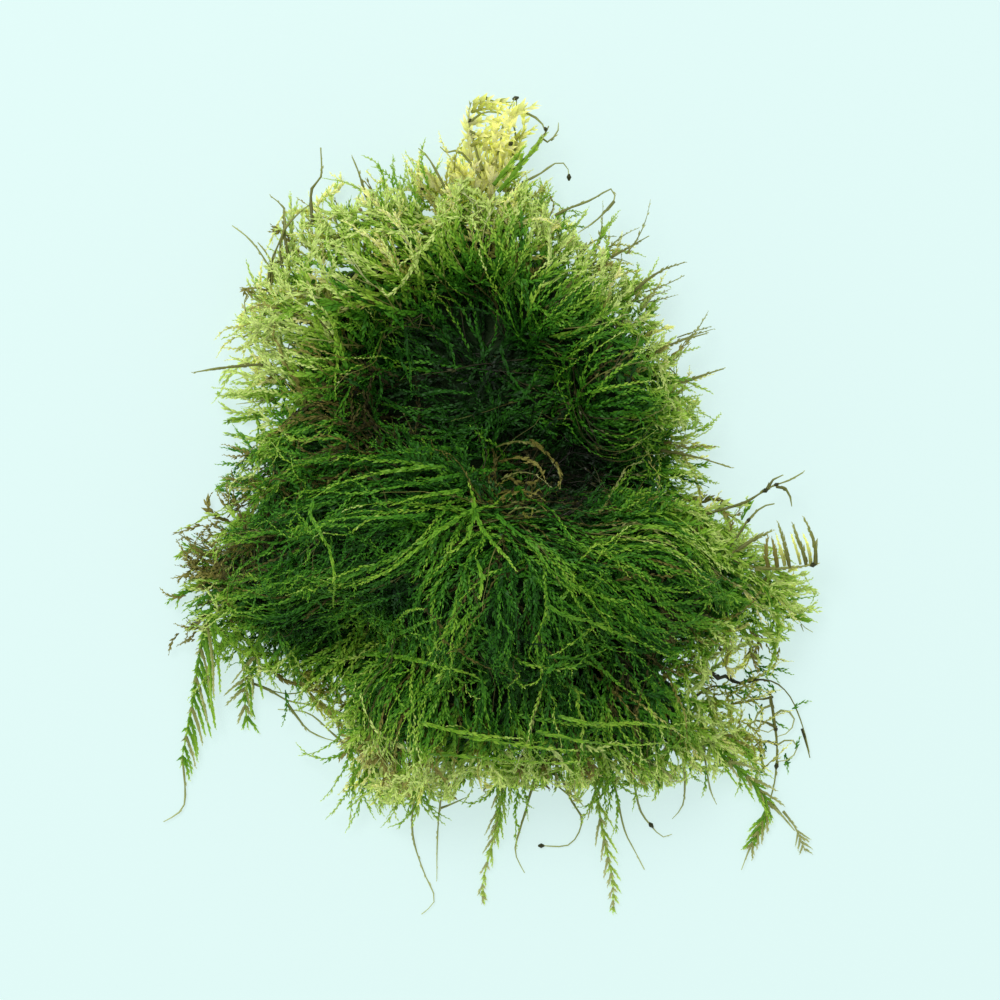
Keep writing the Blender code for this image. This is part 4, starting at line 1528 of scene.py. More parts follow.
# Shoots that leave the cushion singly, each with what branches off it in the same piece. A shoot has its look
# and its route, root first: x y z of each point, in mm.
SINGLES = {
    "shoot_top_green": [
        (TOP_SHOOT, "1.2 39.9 8.6, 2.5 41.4 8, 4 43.3 7.4, 5.3 44.9 6.8, 6.3 46.3 6.2, 7.3 47.6 5.6"),
        (TOP_SHOOT, "0.6 40.8 8.4, 2 42.6 7.8, 3.4 44.4 7.2, 4.6 45.8 6.6"),
        (OLIVE_STEM, "3 42.8 7.4, 4.5 44.1 6.8, 6.1 45.6 6.2, 6.7 46.8 5.8"),
        (OLIVE_STEM, "5.4 45.4 6.3, 6.6 46.7 6, 7.2 47.7 5.6, 7.6 48.6 5.2"),
        (TAN_STEM, "6.6 47 6, 7.6 46.5 5.4, 8.8 48 5, 8.9 49.1 4.6"),
    ],
    "shoot_right_fan_1": [(RIM_SHOOT, "13 30 9, 17.5 32.6 7, 20.6 34.4 5")],
    "shoot_right_fan_2": [(RIM_SHOOT, "17 26 9, 21.5 29.6 7, 25.2 31.1 5")],
    "shoot_right_fan_3": [(RIM_SHOOT, "20 19 11, 24.4 20.8 9, 28 21.9 6.5")],
    "shoot_right_fan_4": [(RIM_SHOOT, "20 14 9, 26.5 16.2 7, 30.2 17.4 5")],
    "shoot_right_fan_5": [(RIM_SHOOT, "22 6.8 7, 26 6.2 6.4, 31 4.6 6")],
    "shoot_left_spike": [(OLIVE_STEM, "-28 18 8, -34.8 17.5 6, -38 17 5")],
    "shoot_upper_left_1": [
        (OLIVE_STEM, "-22.4 36 9, -22.6 40.1 8, -21.4 42 7, -21.6 45.8 5"),
        (OLIVE_STEM, "-26 29.3 8.4, -26.6 32.2 8, -26.2 34.8 8, -24.4 37 7.6, -22.9 38.3 7"),
    ],
    "shoot_upper_left_2": [(OLIVE_STEM, "-14.6 36 9, -16 40.2 7, -16.7 42.4 6, -17.6 44.6 5")],
    "shoot_upper_left_3": [
        (OLIVE_STEM, "-25.4 31 9, -26.2 35.6 7, -26.2 37.7 6.5, -28 39.4 6"),
        (OLIVE_STEM, "-28.2 27.1 8, -27.7 31 8, -26.8 33.3 8, -26 35.3 7.6, -26.2 37.3 7.2"),
    ],
    "frond_right_comb": [
        (COMB_BAR, "30.8 -7.1 9, 32.7 -7.9 8.6, 36 -8.2 8, 39.2 -8.1 7.6, 42 -7.7 7.2"),
        (COMB_BAR, "31.6 -6.1 8, 33.6 -4.7 8.2, 35.2 -3.8 8.3, 36.2 -3.3 8.3"),
        (BROWN_BAR, "35.7 -8 8, 35.4 -6.1 8.3, 35.7 -4.2 8.3"),
        (BROWN_BAR, "36.9 -8 7.9, 36.6 -6.1 8.2, 36.2 -4.3 8.2"),
        (COMB_BAR, "38.5 -8.1 7.7, 38 -5.9 8, 37.5 -4.1 8, 37 -2.4 8"),
        (COMB_BAR, "40.6 -7.8 7.3, 40.1 -5.9 7.6, 39.4 -4.2 7.8, 38.9 -2.6 7.8"),
        (COMB_BAR, "41.8 -7.7 7.1, 41.8 -5.4 7.2, 41.1 -3.4 7.4, 40.3 -1.8 7.4"),
        (CREAM_BAR, "37.9 -7.9 7.5, 37.4 -5.9 7.7, 36.8 -3.9 7.8"),
        (CREAM_BAR, "39.9 -7.8 7.2, 39.4 -5.9 7.4, 38.7 -3.9 7.5"),
        (CREAM_BAR, "41.2 -7.7 6.9, 41 -5.9 7, 40.3 -3.9 7.2"),
    ],
    "shoot_right_thick": [(THICK_SHOOT, "36.6 -12 8, 37 -15.5 7, 36.8 -19 5, 35.9 -22.2 3")],
    "stem_top_curl": [
        (TAN_STEM, "2.7 39.9 8, 4.4 41.1 7.6, 6.7 42.3 7, 8.5 43.6 6.5, 10 43.4 6, 10.3 41.7 5.5"),
    ],
    "stem_top_hook": [
        (TAN_STEM, "8.5 36.8 8, 10 37.6 7.5, 12.8 38.8 6.8, 15.8 40.5 6, 16.1 38.9 6, 15.2 37.6 6.2"),
        (TAN_STEM, "16.1 38.9 6, 13.7 36.3 6.6, 11.4 34.6 7.6"),
    ],
    "stem_upper_left_curl": [
        (TAN_STEM, "-26 27 8, -28.6 31.3 7, -30.7 33.9 6, -33 35.8 5"),
        (OLIVE_STEM, "-29 22.3 8, -28.2 26.1 8, -27.6 29.2 8, -28 31.5 7.4, -29.6 33.5 6.8"),
        (OLIVE_STEM, "-28.5 30.2 7.6, -27 31 7.8, -25.2 32.5 8"),
    ],
    "stem_forked_right": [
        (
            OLIVE_STEM,
            "23.4 -2 8, 28.6 -1 6.4, 32.9 0.3 5.4, 35.5 1.8 5, 36.8 2.5 4.8, 38.5 3 4.6, 40.5 4.1 4",
        ),
        (OLIVE_STEM, "37 2.3 4.8, 38.5 1.8 4.5, 39 -0.3 4.4"),
        (OLIVE_STEM, "35.8 2 5, 36.6 3.2 4.8, 37.9 3.8 4.6"),
    ],
    "stem_right_upper": [(OLIVE_STEM, "30.6 -6.1 8, 32 -4 5.4, 33.4 -1.9 4.8, 35.2 -0.3 4.4, 36.8 0.1 4")],
    "stem_dark_arch": [
        (
            DARK_STEM,
            "24 -20 5, 26.8 -21.1 4, 28.3 -21.4 3.4, 29.5 -22.5 2.8, 30.8 -22.2 2.4, 32.1 -23.2 2, "
            "33.8 -22.8 1.6, 35.8 -22.8 1.4, 37.5 -23.3 1.2, 39.1 -24.9 1, 40.2 -27.4 0.8, 41 -30 0.6, "
            "41.6 -32.2 0.5",
        ),
        (DARK_TWIG, "26.8 -21.1 5.6, 28.3 -21.4 5, 29.5 -22.5 4.2, 30.8 -22.2 3.4, 32.1 -23.2 2.6"),
        (DARK_TWIG, "30.8 -22.2 3.4, 32.1 -23.2 2.6, 33.8 -22.8 2, 35.8 -22.8 1.6"),
        (DARK_STEM, "40.6 -29.2 0.6, 41.2 -31.2 0.5, 41.7 -33 0.5"),
        (OLIVE_STEM, "26 -25.3 3.4, 28.1 -23.8 2.6, 30.2 -23.6 2, 32.5 -25 1.4, 34.1 -26.2 1"),
    ],
    "stem_dark_drop": [
        (OLIVE_STEM, "36.5 -24.4 1, 36.9 -27.4 0.9, 37.3 -31.3 0.8, 37.1 -35.8 0.6, 36.5 -38.4 0.5"),
        (PALE_STEM, "36.9 -27.4 0.9, 38.4 -26.6 0.8, 39.6 -27.9 0.7, 38.9 -29.6 0.7, 37.3 -30.2 0.8"),
        (PALE_STEM, "37.3 -31.3 0.8, 38.8 -30.6 0.7, 40 -31.4 0.6, 39.2 -33 0.6, 37.5 -33.4 0.7"),
        (DARK_STEM, "37.3 -31.3 0.8, 35.4 -30.6 0.9, 34.2 -31.6 1, 33 -31.2 1.2"),
        (OLIVE_STEM, "36.9 -25 0.9, 34.8 -25.4 1.2, 33 -24.6 1.6"),
        (OLIVE_STEM, "37.3 -29 0.8, 35 -28 1, 33.4 -28.8 1.2"),
        (PALE_STEM, "36.8 -26 0.9, 35.2 -26.8 1, 34.4 -28.6 1.1, 36 -29.6 1, 37.2 -29 0.9"),
        (TAN_STEM, "36.5 -38.4 0.5, 38.1 -40.4 0.5, 39.7 -42.3 0.5"),
    ],
    "stem_left_low": [
        (OLIVE_STEM, "-18 -20 5, -21.4 -22.6 2.5, -25.4 -24.6 1, -29.6 -23.8 0.5"),
        (BROWN_BAR, "-28.3 -21.2 3, -26.5 -22.8 2.4, -24.4 -23.5 2.4, -22.1 -24.1 2.4, -20 -24.3 3"),
        (
            TAN_STEM,
            "-30.6 -23.2 1.6, -28.4 -24.1 1.4, -26.3 -25.4 1.2, -24 -25.9 1, -21.7 -26.2 1, -19.6 -27.5 1.4",
        ),
    ],
    "stem_left_looped": [
        (TAN_STEM, "-14 -33 4, -19.2 -30.6 1, -23.4 -27.2 0.5, -27.4 -26.6 0.4"),
        (TAN_STEM, "-26.1 -25.9 1.2, -25 -27.5 0.8, -23.5 -29.3 0.7, -21.2 -30.4 0.7, -19.1 -30.8 1.4"),
    ],
    "strand_bottom_1": [
        (PALE_STEM, "-9.4 -36 5, -9.9 -42.6 1, -8.6 -47.5 0.5, -7.1 -51.2 0.4, -8.8 -53.2 0.4"),
    ],
    "strand_bottom_2": [
        (PALE_STEM, "-5.6 -32 5, -6.6 -41.9 0.8, -6.8 -48.7 0.4"),
        (PALE_STEM, "-6.4 -39.5 1.4, -4.8 -38.9 1.4, -2.9 -38 1.4"),
    ],
    "strand_bottom_4": [(TAN_STEM, "6.8 -32 5, 4.9 -39 1.6, 3.9 -42.7 0.6, 3.5 -45.3 0.4, 4.7 -47.8 0.4")],
    "strand_bottom_5": [
        (TAN_STEM, "8 -32 5, 10.6 -38.2 1.6, 12.1 -41 0.6, 10.4 -44.2 0.4, 6.8 -44.3 0.4"),
    ],
    "strand_bottom_7": [(PALE_STEM, "15.6 -33 5, 17.4 -41.4 1, 18.9 -44.9 0.5, 20.1 -47.4 0.4")],
    "strand_bottom_8": [
        (PALE_STEM, "18 -32 5, 19.4 -39 1.2, 21 -41.6 0.6, 22.6 -43.2 0.4, 23.8 -42.9 0.4"),
    ],
    "strand_bottom_9": [(PALE_STEM, "25 -32 4, 25.3 -38.4 0.8, 23.8 -40.9 0.4")],
    "strand_bottom_10": [(PALE_STEM, "27.6 -31 4, 28.6 -36.6 1, 29.6 -39 0.4")],
}

# Buds and swellings of the stems, by piece, from end to end.
BUDS = {
    "stem_top_curl": ["4 40.7 7.7, 4.8 41.3 7.6", "10.3 42.3 5.6, 10.3 41.4 5.5"],
    "stem_forked_right": ["35.2 1.6 5.1, 36 2 5", "36.6 2.4 4.8, 37.4 2.7 4.7"],
    "stem_right_upper": ["33 -2.4 4.8, 33.7 -1.6 4.7"],
    "stem_dark_drop": ["37.1 -28.8 0.8, 37.2 -29.6 0.8", "37.3 -33.6 0.7, 37.2 -34.4 0.7"],
    "stem_dark_arch": ["29 -22.1 3, 30 -22.5 2.6", "33.3 -23 1.7, 34.2 -22.8 1.5"],
    "frond_right_comb": ["41 -7.9 7.3, 41.9 -7.7 7.2"],
    "strand_bottom_5": ["7.2 -44.3 0.6, 6.4 -44.3 0.6"],
    "strand_bottom_8": ["20.8 -41.3 0.6, 21.4 -42 0.6"],
}


def in_metres(route_mm: str) -> list[Vector]:
    """The points of a route, in metres."""
    return [Vector([float(value) for value in point.split()]) * MM for point in route_mm.split(",")]


def bud(ends_mm: str) -> list[Line]:
    """A swelling of a stem, as two stubs that taper from its middle to its ends."""
    ends = in_metres(ends_mm)
    middle = sum(ends, Vector()) / len(ends)
    return [KNOT.line([middle, end]) for end in ends]


@dataclass(frozen=True)
class Frond:
    """An axis with side shoots in one plane, like a feather.

    Attributes:
        axis_mm: The axis's route, root first.
        shoots: Number of side shoots.
        first_mm: Length of the one nearest the root.
        last_mm: Length of the one nearest the tip.
        lean: Angle between them and the axis, in degrees.
        sides: On which sides they stand in turn, 1 left and -1 right.
        reach: The share of the axis where they start and end.
        looks: How its side shoots look in turn; its axis looks like the first.
        short_side: Length of the shoots opposite them, as a share of theirs.
        tail_mm: The route of the bare stem beyond them.
    """

    axis_mm: str
    shoots: int
    first_mm: float
    last_mm: float
    lean: float
    sides: tuple[int, ...]
    reach: tuple[float, float]
    looks: tuple[Look, ...]
    short_side: float = 0.0
    tail_mm: str = ""

    SAMPLES = 6
    STEPS = 4  # of a side shoot
    UNEVEN = (0.82, 1.12)  # lengths beside each other
    LEANS = (0.88, 1.12)
    STRAIGHTENED = 0.1  # how much less it leans at a step
    SINK = (-0.06, 0.04)

    def lines(self, rng: random.Random) -> list[Line]:
        """The axis, its side shoots and its tail.

        Args:
            rng: The source of chance.

        Returns:
            Their lines.
        """
        points = in_metres(self.axis_mm)
        ends = [2 * points[0] - points[1], *points, 2 * points[-1] - points[-2]]
        axis = [
            spline_place(*ends[i : i + 4], k / self.SAMPLES)
            for i in range(len(points) - 1)
            for k in range(self.SAMPLES)
        ]
        axis.append(points[-1])
        lines = [self.looks[0].line(axis)]
        if self.tail_mm:
            lines.append(PALE_STEM.line(in_metres(self.tail_mm)))
        low, high = self.reach
        for k in range(self.shoots):
            share = k / (self.shoots - 1)
            at = (low + (high - low) * share) * (len(axis) - 1)
            i = min(int(at), len(axis) - 2)
            start = axis[i].lerp(axis[i + 1], at - i)
            side = self.sides[k % len(self.sides)]
            length = (self.first_mm + (self.last_mm - self.first_mm) * share) * MM
            for way, part in ((side, 1.0), (-side, self.short_side)):
                if part:
                    places = self.side_places(start, axis[i + 1] - axis[i], way, length * part, rng)
                    lines.append(self.looks[k % len(self.looks)].line(places))
        return lines

    def side_places(
        self, start: Vector, run: Vector, side: int, length: float, rng: random.Random
    ) -> list[Vector]:
        """One side shoot, which bends a little towards the tip.

        Args:
            start: Where it leaves the axis.
            run: The way that the axis goes there.
            side: 1 for left, -1 for right.
            length: Its length.
            rng: The source of chance.

        Returns:
            Its points.
        """
        length *= rng.uniform(*self.UNEVEN)
        lean = math.radians(self.lean * rng.uniform(*self.LEANS)) * side
        places = [start]
        for step in range(1, self.STEPS + 1):
            way = turned(run, lean * (1 + self.STRAIGHTENED - self.STRAIGHTENED * step))
            places.append(places[-1] + (way + Vector((0, 0, rng.uniform(*self.SINK)))) * length / self.STEPS)
        return places


FROND_PALE = Look(Growth.LIVING, 0.88, 1.0, size=0.9)
FROND_GREEN = Look(Growth.LIVING, 0.66, 0.86, size=1.05)
FROND_OLIVE = Look(Growth.BARE, 0.76, 0.92)
FROND_WAN = Look(Growth.BARE, 0.88, 1.0, size=0.85)
FROND_OLD = Look(Growth.BARE, 0.85, 1.0, leafy=0.8, size=0.75)

FRONDS = {
    "frond_left_trailing": Frond(
        "-35.5 -13 7, -37.4 -19.5 3, -38.6 -26.8 1.2, -39.9 -34 0.7",
        16, 10.0, 3.6, 29, (1,), (0.06, 0.94), (FROND_GREEN, FROND_OLIVE, FROND_GREEN), 0.1,
        tail_mm="-39.7 -33 0.7, -39.5 -39 0.5, -42.2 -41.2 0.5",
    ),
    "frond_left_inner": Frond(
        "-29 -16 7, -30.4 -21.4 2.6, -31.6 -24.4 1.2, -31.2 -29 0.6",
        9, 5.4, 2.6, 34, (1, -1), (0.1, 0.9), (FROND_GREEN, FROND_OLIVE), 0.6,
    ),
    "frond_right_low": Frond(
        "27 -30 5, 32.9 -34.8 2.5, 36.1 -38.6 1, 35.4 -41.4 0.8, 34 -44.6 0.6",
        16, 4.6, 2.2, 24, (-1, 1), (0.1, 0.95), (FROND_GREEN, FROND_OLIVE), 0.5,
        tail_mm="34.2 -44 0.6, 32.7 -47.5 0.5",
    ),
    "strand_bottom_3": Frond(
        "2.2 -32 6, 1.4 -39 2, 0.8 -42.7 1, -0.8 -48.9 0.5, -0.6 -51.8 0.5",
        14, 4.2, 0.8, 24, (1, -1), (0.08, 0.9), (FROND_PALE, FROND_WAN), 0.4,
    ),
    "strand_bottom_6": Frond(
        "13 -32 6, 14.4 -40.3 2, 15.4 -45.6 0.8, 16.1 -49.7 0.6, 16.1 -53.2 0.5",
        15, 4.2, 0.8, 28, (1, -1), (0.08, 0.94), (FROND_PALE, FROND_WAN), 0.3,
    ),
    "sprig_lower_right": Frond(
        "38.2 -39.8 0.7, 39.6 -41.6 0.5, 40.3 -43 0.5, 41 -45 0.5",
        7, 1.9, 1.1, 42, (1, -1), (0.5, 0.95), (FROND_OLD,),
    ),
}  # fmt: skip


@dataclass(frozen=True)
class Spray:
    """A tuft of shoots that leaves the cushion's rim together and spreads like a fan.

    Attributes:
        root_mm: Where they start, inside the cushion.
        heading: The way that they go, in degrees from +X towards +Y.
        spread: How far they stray from it, either way, in degrees.
        shoots: Their number.
        reach_mm: Least and most length.
        look: How they look.
        curl: How much they bend at a step, in degrees.
    """

    root_mm: Point
    heading: float
    spread: float
    shoots: int
    reach_mm: tuple[float, float]
    look: Look
    curl: float = 9

    ROOT_WIDTH = 1.6 * MM
    ROOT_FLATNESS = 0.6  # its height beside its width
    STEPS = 5
    SINK = 0.3  # share of its height that a shoot loses at its last step
    LOWEST = 0.3 * MM

    def lines(self, rng: random.Random) -> list[Line]:
        """The lines of its shoots.

        Args:
            rng: The source of chance.

        Returns:
            The lines, each bent a little and sinking to the ground.
        """
        lines = []
        for _ in range(self.shoots):
            way = turned(Vector((1, 0, 0)), math.radians(self.heading + self.spread * rng.uniform(-1, 1)))
            bend = math.radians(rng.gauss(0, self.curl))
            stride = rng.uniform(*self.reach_mm) * MM / self.STEPS
            root = Vector(self.root_mm) * MM
            root += Vector([rng.gauss(0, size) for size in (1, 1, self.ROOT_FLATNESS)]) * self.ROOT_WIDTH
            places = [root]
            for step in range(self.STEPS):
                way = turned(way, bend)
                sink = max(self.LOWEST, places[-1].z) * self.SINK * (step + 1) / self.STEPS
                places.append(places[-1] + way * stride - UP * sink)
            lines.append(self.look.line(places))
        return lines


SPRAY_GREEN = Look(Growth.LIVING, 0.5, 0.74, side=2.2 * MM, size=0.9)
SPRAY_DARK = Look(Growth.LIVING, 0.36, 0.6, side=2.2 * MM, size=0.9)
SPRAY_BRIGHT = Look(Growth.LIVING, 0.66, 0.92, side=2.4 * MM, size=0.9)
SPRAY_SPIKES = Look(Growth.LIVING, 0.74, 1.0, size=1.1)
SPRAY_HAZE = Look(Growth.BLEACHED, 0.45, 0.95, side=2 * MM, size=0.8)
SPRAY_YELLOW = Look(Growth.BLEACHED, 0.5, 1.0, side=1.6 * MM, size=0.9)
SPRAY_GLOW = Look(Growth.BLEACHED, 0.55, 0.95, side=1.6 * MM, size=0.85)
SPRAY_TWIGS = Look(Growth.BARE, 0.7, 0.88, leafy=0.5, size=0.95)
SPRAY_BROWN = Look(Growth.BROWNED, 0.65, 1.0, side=1.5 * MM, size=0.9)

SPRAYS = (
    Spray((-17, -31, 5), -94, 12, 12, (6.5, 10), SPRAY_BRIGHT),
    Spray((-11.5, -34.5, 5), -84, 18, 16, (5, 9.2), SPRAY_BRIGHT),
    Spray((1.8, -35, 5), -95, 22, 12, (4, 8), SPRAY_BRIGHT),
    Spray((15.5, -34, 5), -86, 28, 14, (4, 8), SPRAY_BRIGHT),
    Spray((25.5, -32, 4), -75, 26, 6, (3, 5), SPRAY_BRIGHT),
    Spray((30, -25.5, 3), -20, 60, 22, (4, 8), SPRAY_HAZE, curl=24),
    Spray((34.5, -17.5, 3), -80, 30, 6, (3, 5), SPRAY_HAZE, curl=24),
    Spray((33, -31, 2.5), 20, 50, 12, (3.5, 7), SPRAY_HAZE, curl=24),
    Spray((30.5, -31.5, 3.5), -42, 18, 9, (3.5, 6.5), SPRAY_BRIGHT),
    Spray((-4.5, 38.5, 8), 104, 36, 24, (5, 8.5), SPRAY_YELLOW),
    Spray((0.5, 39.2, 7.6), 92, 40, 12, (2.5, 5), SPRAY_YELLOW),
    Spray((-11, 38.5, 8), 96, 26, 10, (4, 7), SPRAY_BRIGHT),
    Spray((8, 35.5, 8), 62, 34, 7, (3, 5.5), SPRAY_BRIGHT),
    Spray((13, 31.5, 8), 52, 30, 5, (4, 6.8), SPRAY_SPIKES),
    Spray((17.5, 27, 8), 38, 24, 5, (4, 7.3), SPRAY_SPIKES),
    Spray((21, 21, 8), 24, 24, 4, (4, 6.8), SPRAY_SPIKES),
    Spray((23, 14.5, 7), 12, 24, 4, (4, 6.3), SPRAY_SPIKES),
    Spray((24, 8, 7), 2, 24, 4, (3, 5), SPRAY_SPIKES),
    Spray((24.5, 2, 7), -12, 24, 4, (3, 5.5), SPRAY_SPIKES),
    Spray((13, 31.5, 7), 48, 34, 6, (4.5, 8), SPRAY_TWIGS),
    Spray((18, 26.5, 7), 34, 28, 5, (4.5, 7.6), SPRAY_TWIGS),
    Spray((21.5, 19, 7), 20, 30, 5, (4, 7.2), SPRAY_TWIGS),
    Spray((23.5, 10.5, 6), 4, 28, 5, (3, 4.8), SPRAY_TWIGS),
    Spray((14, 31, 7), 48, 50, 10, (2.5, 5.4), SPRAY_GLOW),
    Spray((19.5, 24, 7), 30, 40, 8, (2.5, 5), SPRAY_GLOW),
    Spray((22.5, 16, 6), 15, 40, 8, (2.5, 4.6), SPRAY_GLOW),
    Spray((-24, 32, 7), 130, 50, 12, (3, 6.5), SPRAY_GLOW),
    Spray((-29, 22, 6), 165, 40, 12, (3, 6), SPRAY_GLOW),
    Spray((-29, 2.5, 5), 170, 40, 14, (3, 6), SPRAY_BROWN),
    Spray((-32, -2.5, 5), 162, 45, 14, (2, 4.4), SPRAY_BROWN),
    Spray((-36, -8.5, 5), 184, 55, 22, (2.4, 5), SPRAY_BROWN),
    Spray((-37, -15, 4), 200, 30, 8, (1.5, 3.5), SPRAY_BROWN),
    Spray((-29.5, 2.6, 4), 175, 45, 14, (2.5, 5), SPRAY_DARK),
    Spray((-34, -13, 5), 195, 40, 10, (2.5, 5), SPRAY_GREEN),
    Spray((-30, 6.5, 5), 165, 34, 8, (2, 4.4), SPRAY_GREEN),
    Spray((33, -23.5, 2), -20, 60, 12, (2.5, 5.2), SPRAY_GREEN),
    Spray((36.8, -27, 0.8), -90, 150, 8, (1.2, 2.6), SPRAY_GREEN),
    Spray((37, -33, 0.7), -90, 150, 8, (1.2, 2.6), SPRAY_GREEN),
    Spray((-29, -15, 5), -72, 30, 16, (3.5, 6.6), SPRAY_GREEN),
    Spray((-24.5, -17.5, 5), -76, 30, 16, (4, 7.5), SPRAY_GREEN),
    Spray((-33, -14.5, 6), -72, 24, 16, (7, 11), SPRAY_BRIGHT),
    Spray((-23, -20, 5), -85, 34, 8, (3, 5.5), SPRAY_GREEN),
)


@dataclass
class SingleGrowth:
    """Every shoot, stem and frond that leaves the cushion singly, each a piece of its own, and the sprays.

    Attributes:
        tree: The node tree that they grow with.
        rng: The source of chance.
    """

    tree: GrowthTree
    rng: random.Random = field(default_factory=partial(random.Random, 5))

    FIRST_SEED = 100

    def build(self) -> None:
        """Grows them."""
        pieces = {name: [look.line(in_metres(way)) for look, way in ways] for name, ways in SINGLES.items()}
        for name, buds in BUDS.items():
            pieces[name] += [half for ends in buds for half in bud(ends)]
        pieces |= {name: frond.lines(self.rng) for name, frond in FRONDS.items()}
        for seed, (name, lines) in enumerate(pieces.items(), self.FIRST_SEED):
            bare = name.startswith(("stem", "strand")) and name not in FRONDS
            piece = self.tree.grow(f"{name}_growth", lines, SINGLE_HABIT, seed)
            settle(piece, "bare_stem" if bare else "shoot_green", name)
        lines = [line for spray in SPRAYS for line in spray.lines(self.rng)]
        piece = self.tree.grow("rim_sprays", lines, Habit(wander=0.3 * MM), self.FIRST_SEED + len(pieces))
        settle(piece, "moss_green", Cushion.NODE)


@dataclass
class PaleTuft:
    """The tuft of dead, straw-coloured shoots at the top end.

    Attributes:
        tree: The node tree that it grows with.
    """

    tree: GrowthTree

    NECK = Look(Growth.BLEACHED, 0.7, 0.95, side=2.2 * MM, leafy=0.7, size=0.8)
    STEM = Look(Growth.BARE, 0.72, 0.85, leafy=0.06, size=0.8)
    STRAW = Look(Growth.BLEACHED, 0.6, 0.9, size=0.95)
    CREAM = Look(Growth.BLEACHED, 0.88, 1.0, size=1.15)
    HABIT = Habit(
        side_spacing=1.6 * MM,
        leaf_spacing=0.5 * MM,
        leaf_length=2.2 * MM,
        leaf_lean=math.radians(30),
        leaf_roll=math.radians(70),
        stem_radius=0.22 * MM,
        stem_sides=6,
        wander=0.3 * MM,
    )
    SEED = 300
    NECK_MM = "0 37.5 8, 0.3 42 7, 0.4 47 5.6"
    # Bare stems of the tuft.
    STEMS_MM = (
        "-0.9 42.8 7, -1.8 45.5 5.4, -2.4 48.2 4.6, -2.6 50.3 4.2, -2.3 51.7 4",
        "0.7 43.5 6.8, 1.4 46.1 6.4, 1.9 48.6 6.4, 2.5 50.3 6.2, 3.4 52.1 6",
        "2.1 43.5 6.6, 3.5 46.1 6, 3.2 48.7 5.8, 3.6 50.9 5.4, 3.6 52.1 5.2",
        "-1.4 52.1 4.2, -0.6 52.1 5, 1.4 51.5 6, 2.8 51.6 5.8",
        "-2.4 47.9 4.8, -0.4 47 6, 1.9 47.2 6.2",
        "3.9 50.9 5.4, 5 50.2 5.2, 6.3 49.4 5.4, 7.2 47.9 5.6, 6.3 46.9 5.8",
        "-1.1 41.8 7.2, -3.7 45.3 5, -5.3 45.2 4.8, -6.2 46 4.6",
        "-5.5 40.2 7.2, -7.1 43.5 5.4, -8 44.9 4.6, -9 45.8 4",
        "-2.4 48.8 4.4, -1.4 49.9 5.4, 0.4 50.3 6.2, 2.2 49.8 6.4",
    )
    # Leafy dead shoots between them.
    SHOOTS_MM = (
        "-0.4 40.2 7.4, -0.9 43.1 6.4, -1.4 45.5 5.6, -1.5 47.6 5.2",
        "-3.4 39.8 7.4, -3.2 41.6 6.8, -3 43.2 6.4",
        "-2.2 39.8 7.6, -2 41.8 7, -1.8 43.6 6.4",
        "-1 39.5 7.8, -0.6 41.6 7.4, 0.2 43.4 7",
        "0.6 39.6 7.8, 0.4 41.6 7.4, 0.6 43.2 7.2",
        "2 40 7.6, 2.2 42 7.4, 2.6 43.8 7",
        "-0.1 40.9 7.2, -0.2 43.5 6.6, -0.4 46 6.2, -0.2 48.3 6",
        "0.7 41.5 7.2, 0.7 44.1 6.8, 0.9 46.7 6.6, 1.2 49.3 6.6, 1.3 50.8 6.4",
        "1 41.8 7, 1.8 44.4 6.6, 2.5 46.7 6.4, 2.8 49 6.4, 3.1 51.1 6",
        "1.4 42 7, 3 44.4 6.2, 4 46.5 6, 4.5 48.6 5.8, 4.5 50.4 5.4",
        "-2.2 47.1 4.8, -0.6 47.5 6, 1.2 47.6 6.6, 2.7 47.1 6.6",
        "-2.3 48.9 4.5, -0.6 49.1 5.8, 1 49.1 6.6, 3 48.8 6.4",
        "-2.2 50.5 4.2, -0.6 50.7 5.4, 1 50.6 6.4, 2.7 50.3 6.2",
        "-0.8 45.5 5.8, 0.7 45.6 6.8, 2.2 45.4 6.8, 3.5 44.7 6.4",
        "2.5 49.3 6.2, 3.7 50.1 5.8, 4.9 50.9 5.4, 5.7 51.2 5",
        "3.2 46.7 6.2, 4.5 47.5 6, 5.8 48.3 5.8",
        "-1.1 42.6 6.8, -2.4 44.2 5.2, -3.2 45.6 4.4",
        "-1.4 41.3 7, -3.5 42.7 5.6, -5 43.8 4.8",
        "-2.4 46 5, -1.2 46.4 5.8, 0.6 46.2 6.6, 2 46.6 6.6",
        "-2 51.4 4.2, -0.8 51.6 5.2, 0.8 51.4 6.2, 2.6 51.4 6",
        "-2.3 44.2 5.6, -2.6 46.4 4.8, -2.7 48.6 4.4, -2.5 50.6 4.2",
        "0.2 43.6 7, 1.6 43 7.2, 3 42.4 7, 4.2 42.2 6.6",
        "-3 40.8 7.4, -4 42.6 6.4, -4.4 44.2 5.6",
        "-6.6 40 7.6, -7.4 41.8 6.6, -8.8 43.2 5.6",
    )
    BUDS_MM = (
        "-0.9 52.3 4.8, -0.2 52.1 5.2",
        "3.1 52 5.9, 3.9 52.3 5.6",
        "-2.4 49.6 4.3, -2.2 48.8 4.5",
        "2.5 45.8 7, 3 46.3 7",
        "-8.7 40.6 7.4, -8.2 40.2 7.4",
        "7.3 47.9 5.8, 7 48.4 5.8",
    )

    def build(self) -> None:
        """Grows the tuft."""
        leafy = (self.STRAW, self.CREAM, self.CREAM) * len(self.SHOOTS_MM)
        routes = [(self.NECK, self.NECK_MM), *((self.STEM, route) for route in self.STEMS_MM)]
        routes += zip(leafy, self.SHOOTS_MM, strict=False)
        lines = [look.line(in_metres(route)) for look, route in routes]
        lines += [half for ends in self.BUDS_MM for half in bud(ends)]
        settle(self.tree.grow("pale_tuft_growth", lines, self.HABIT, self.SEED), "pale_straw", "pale_tuft")


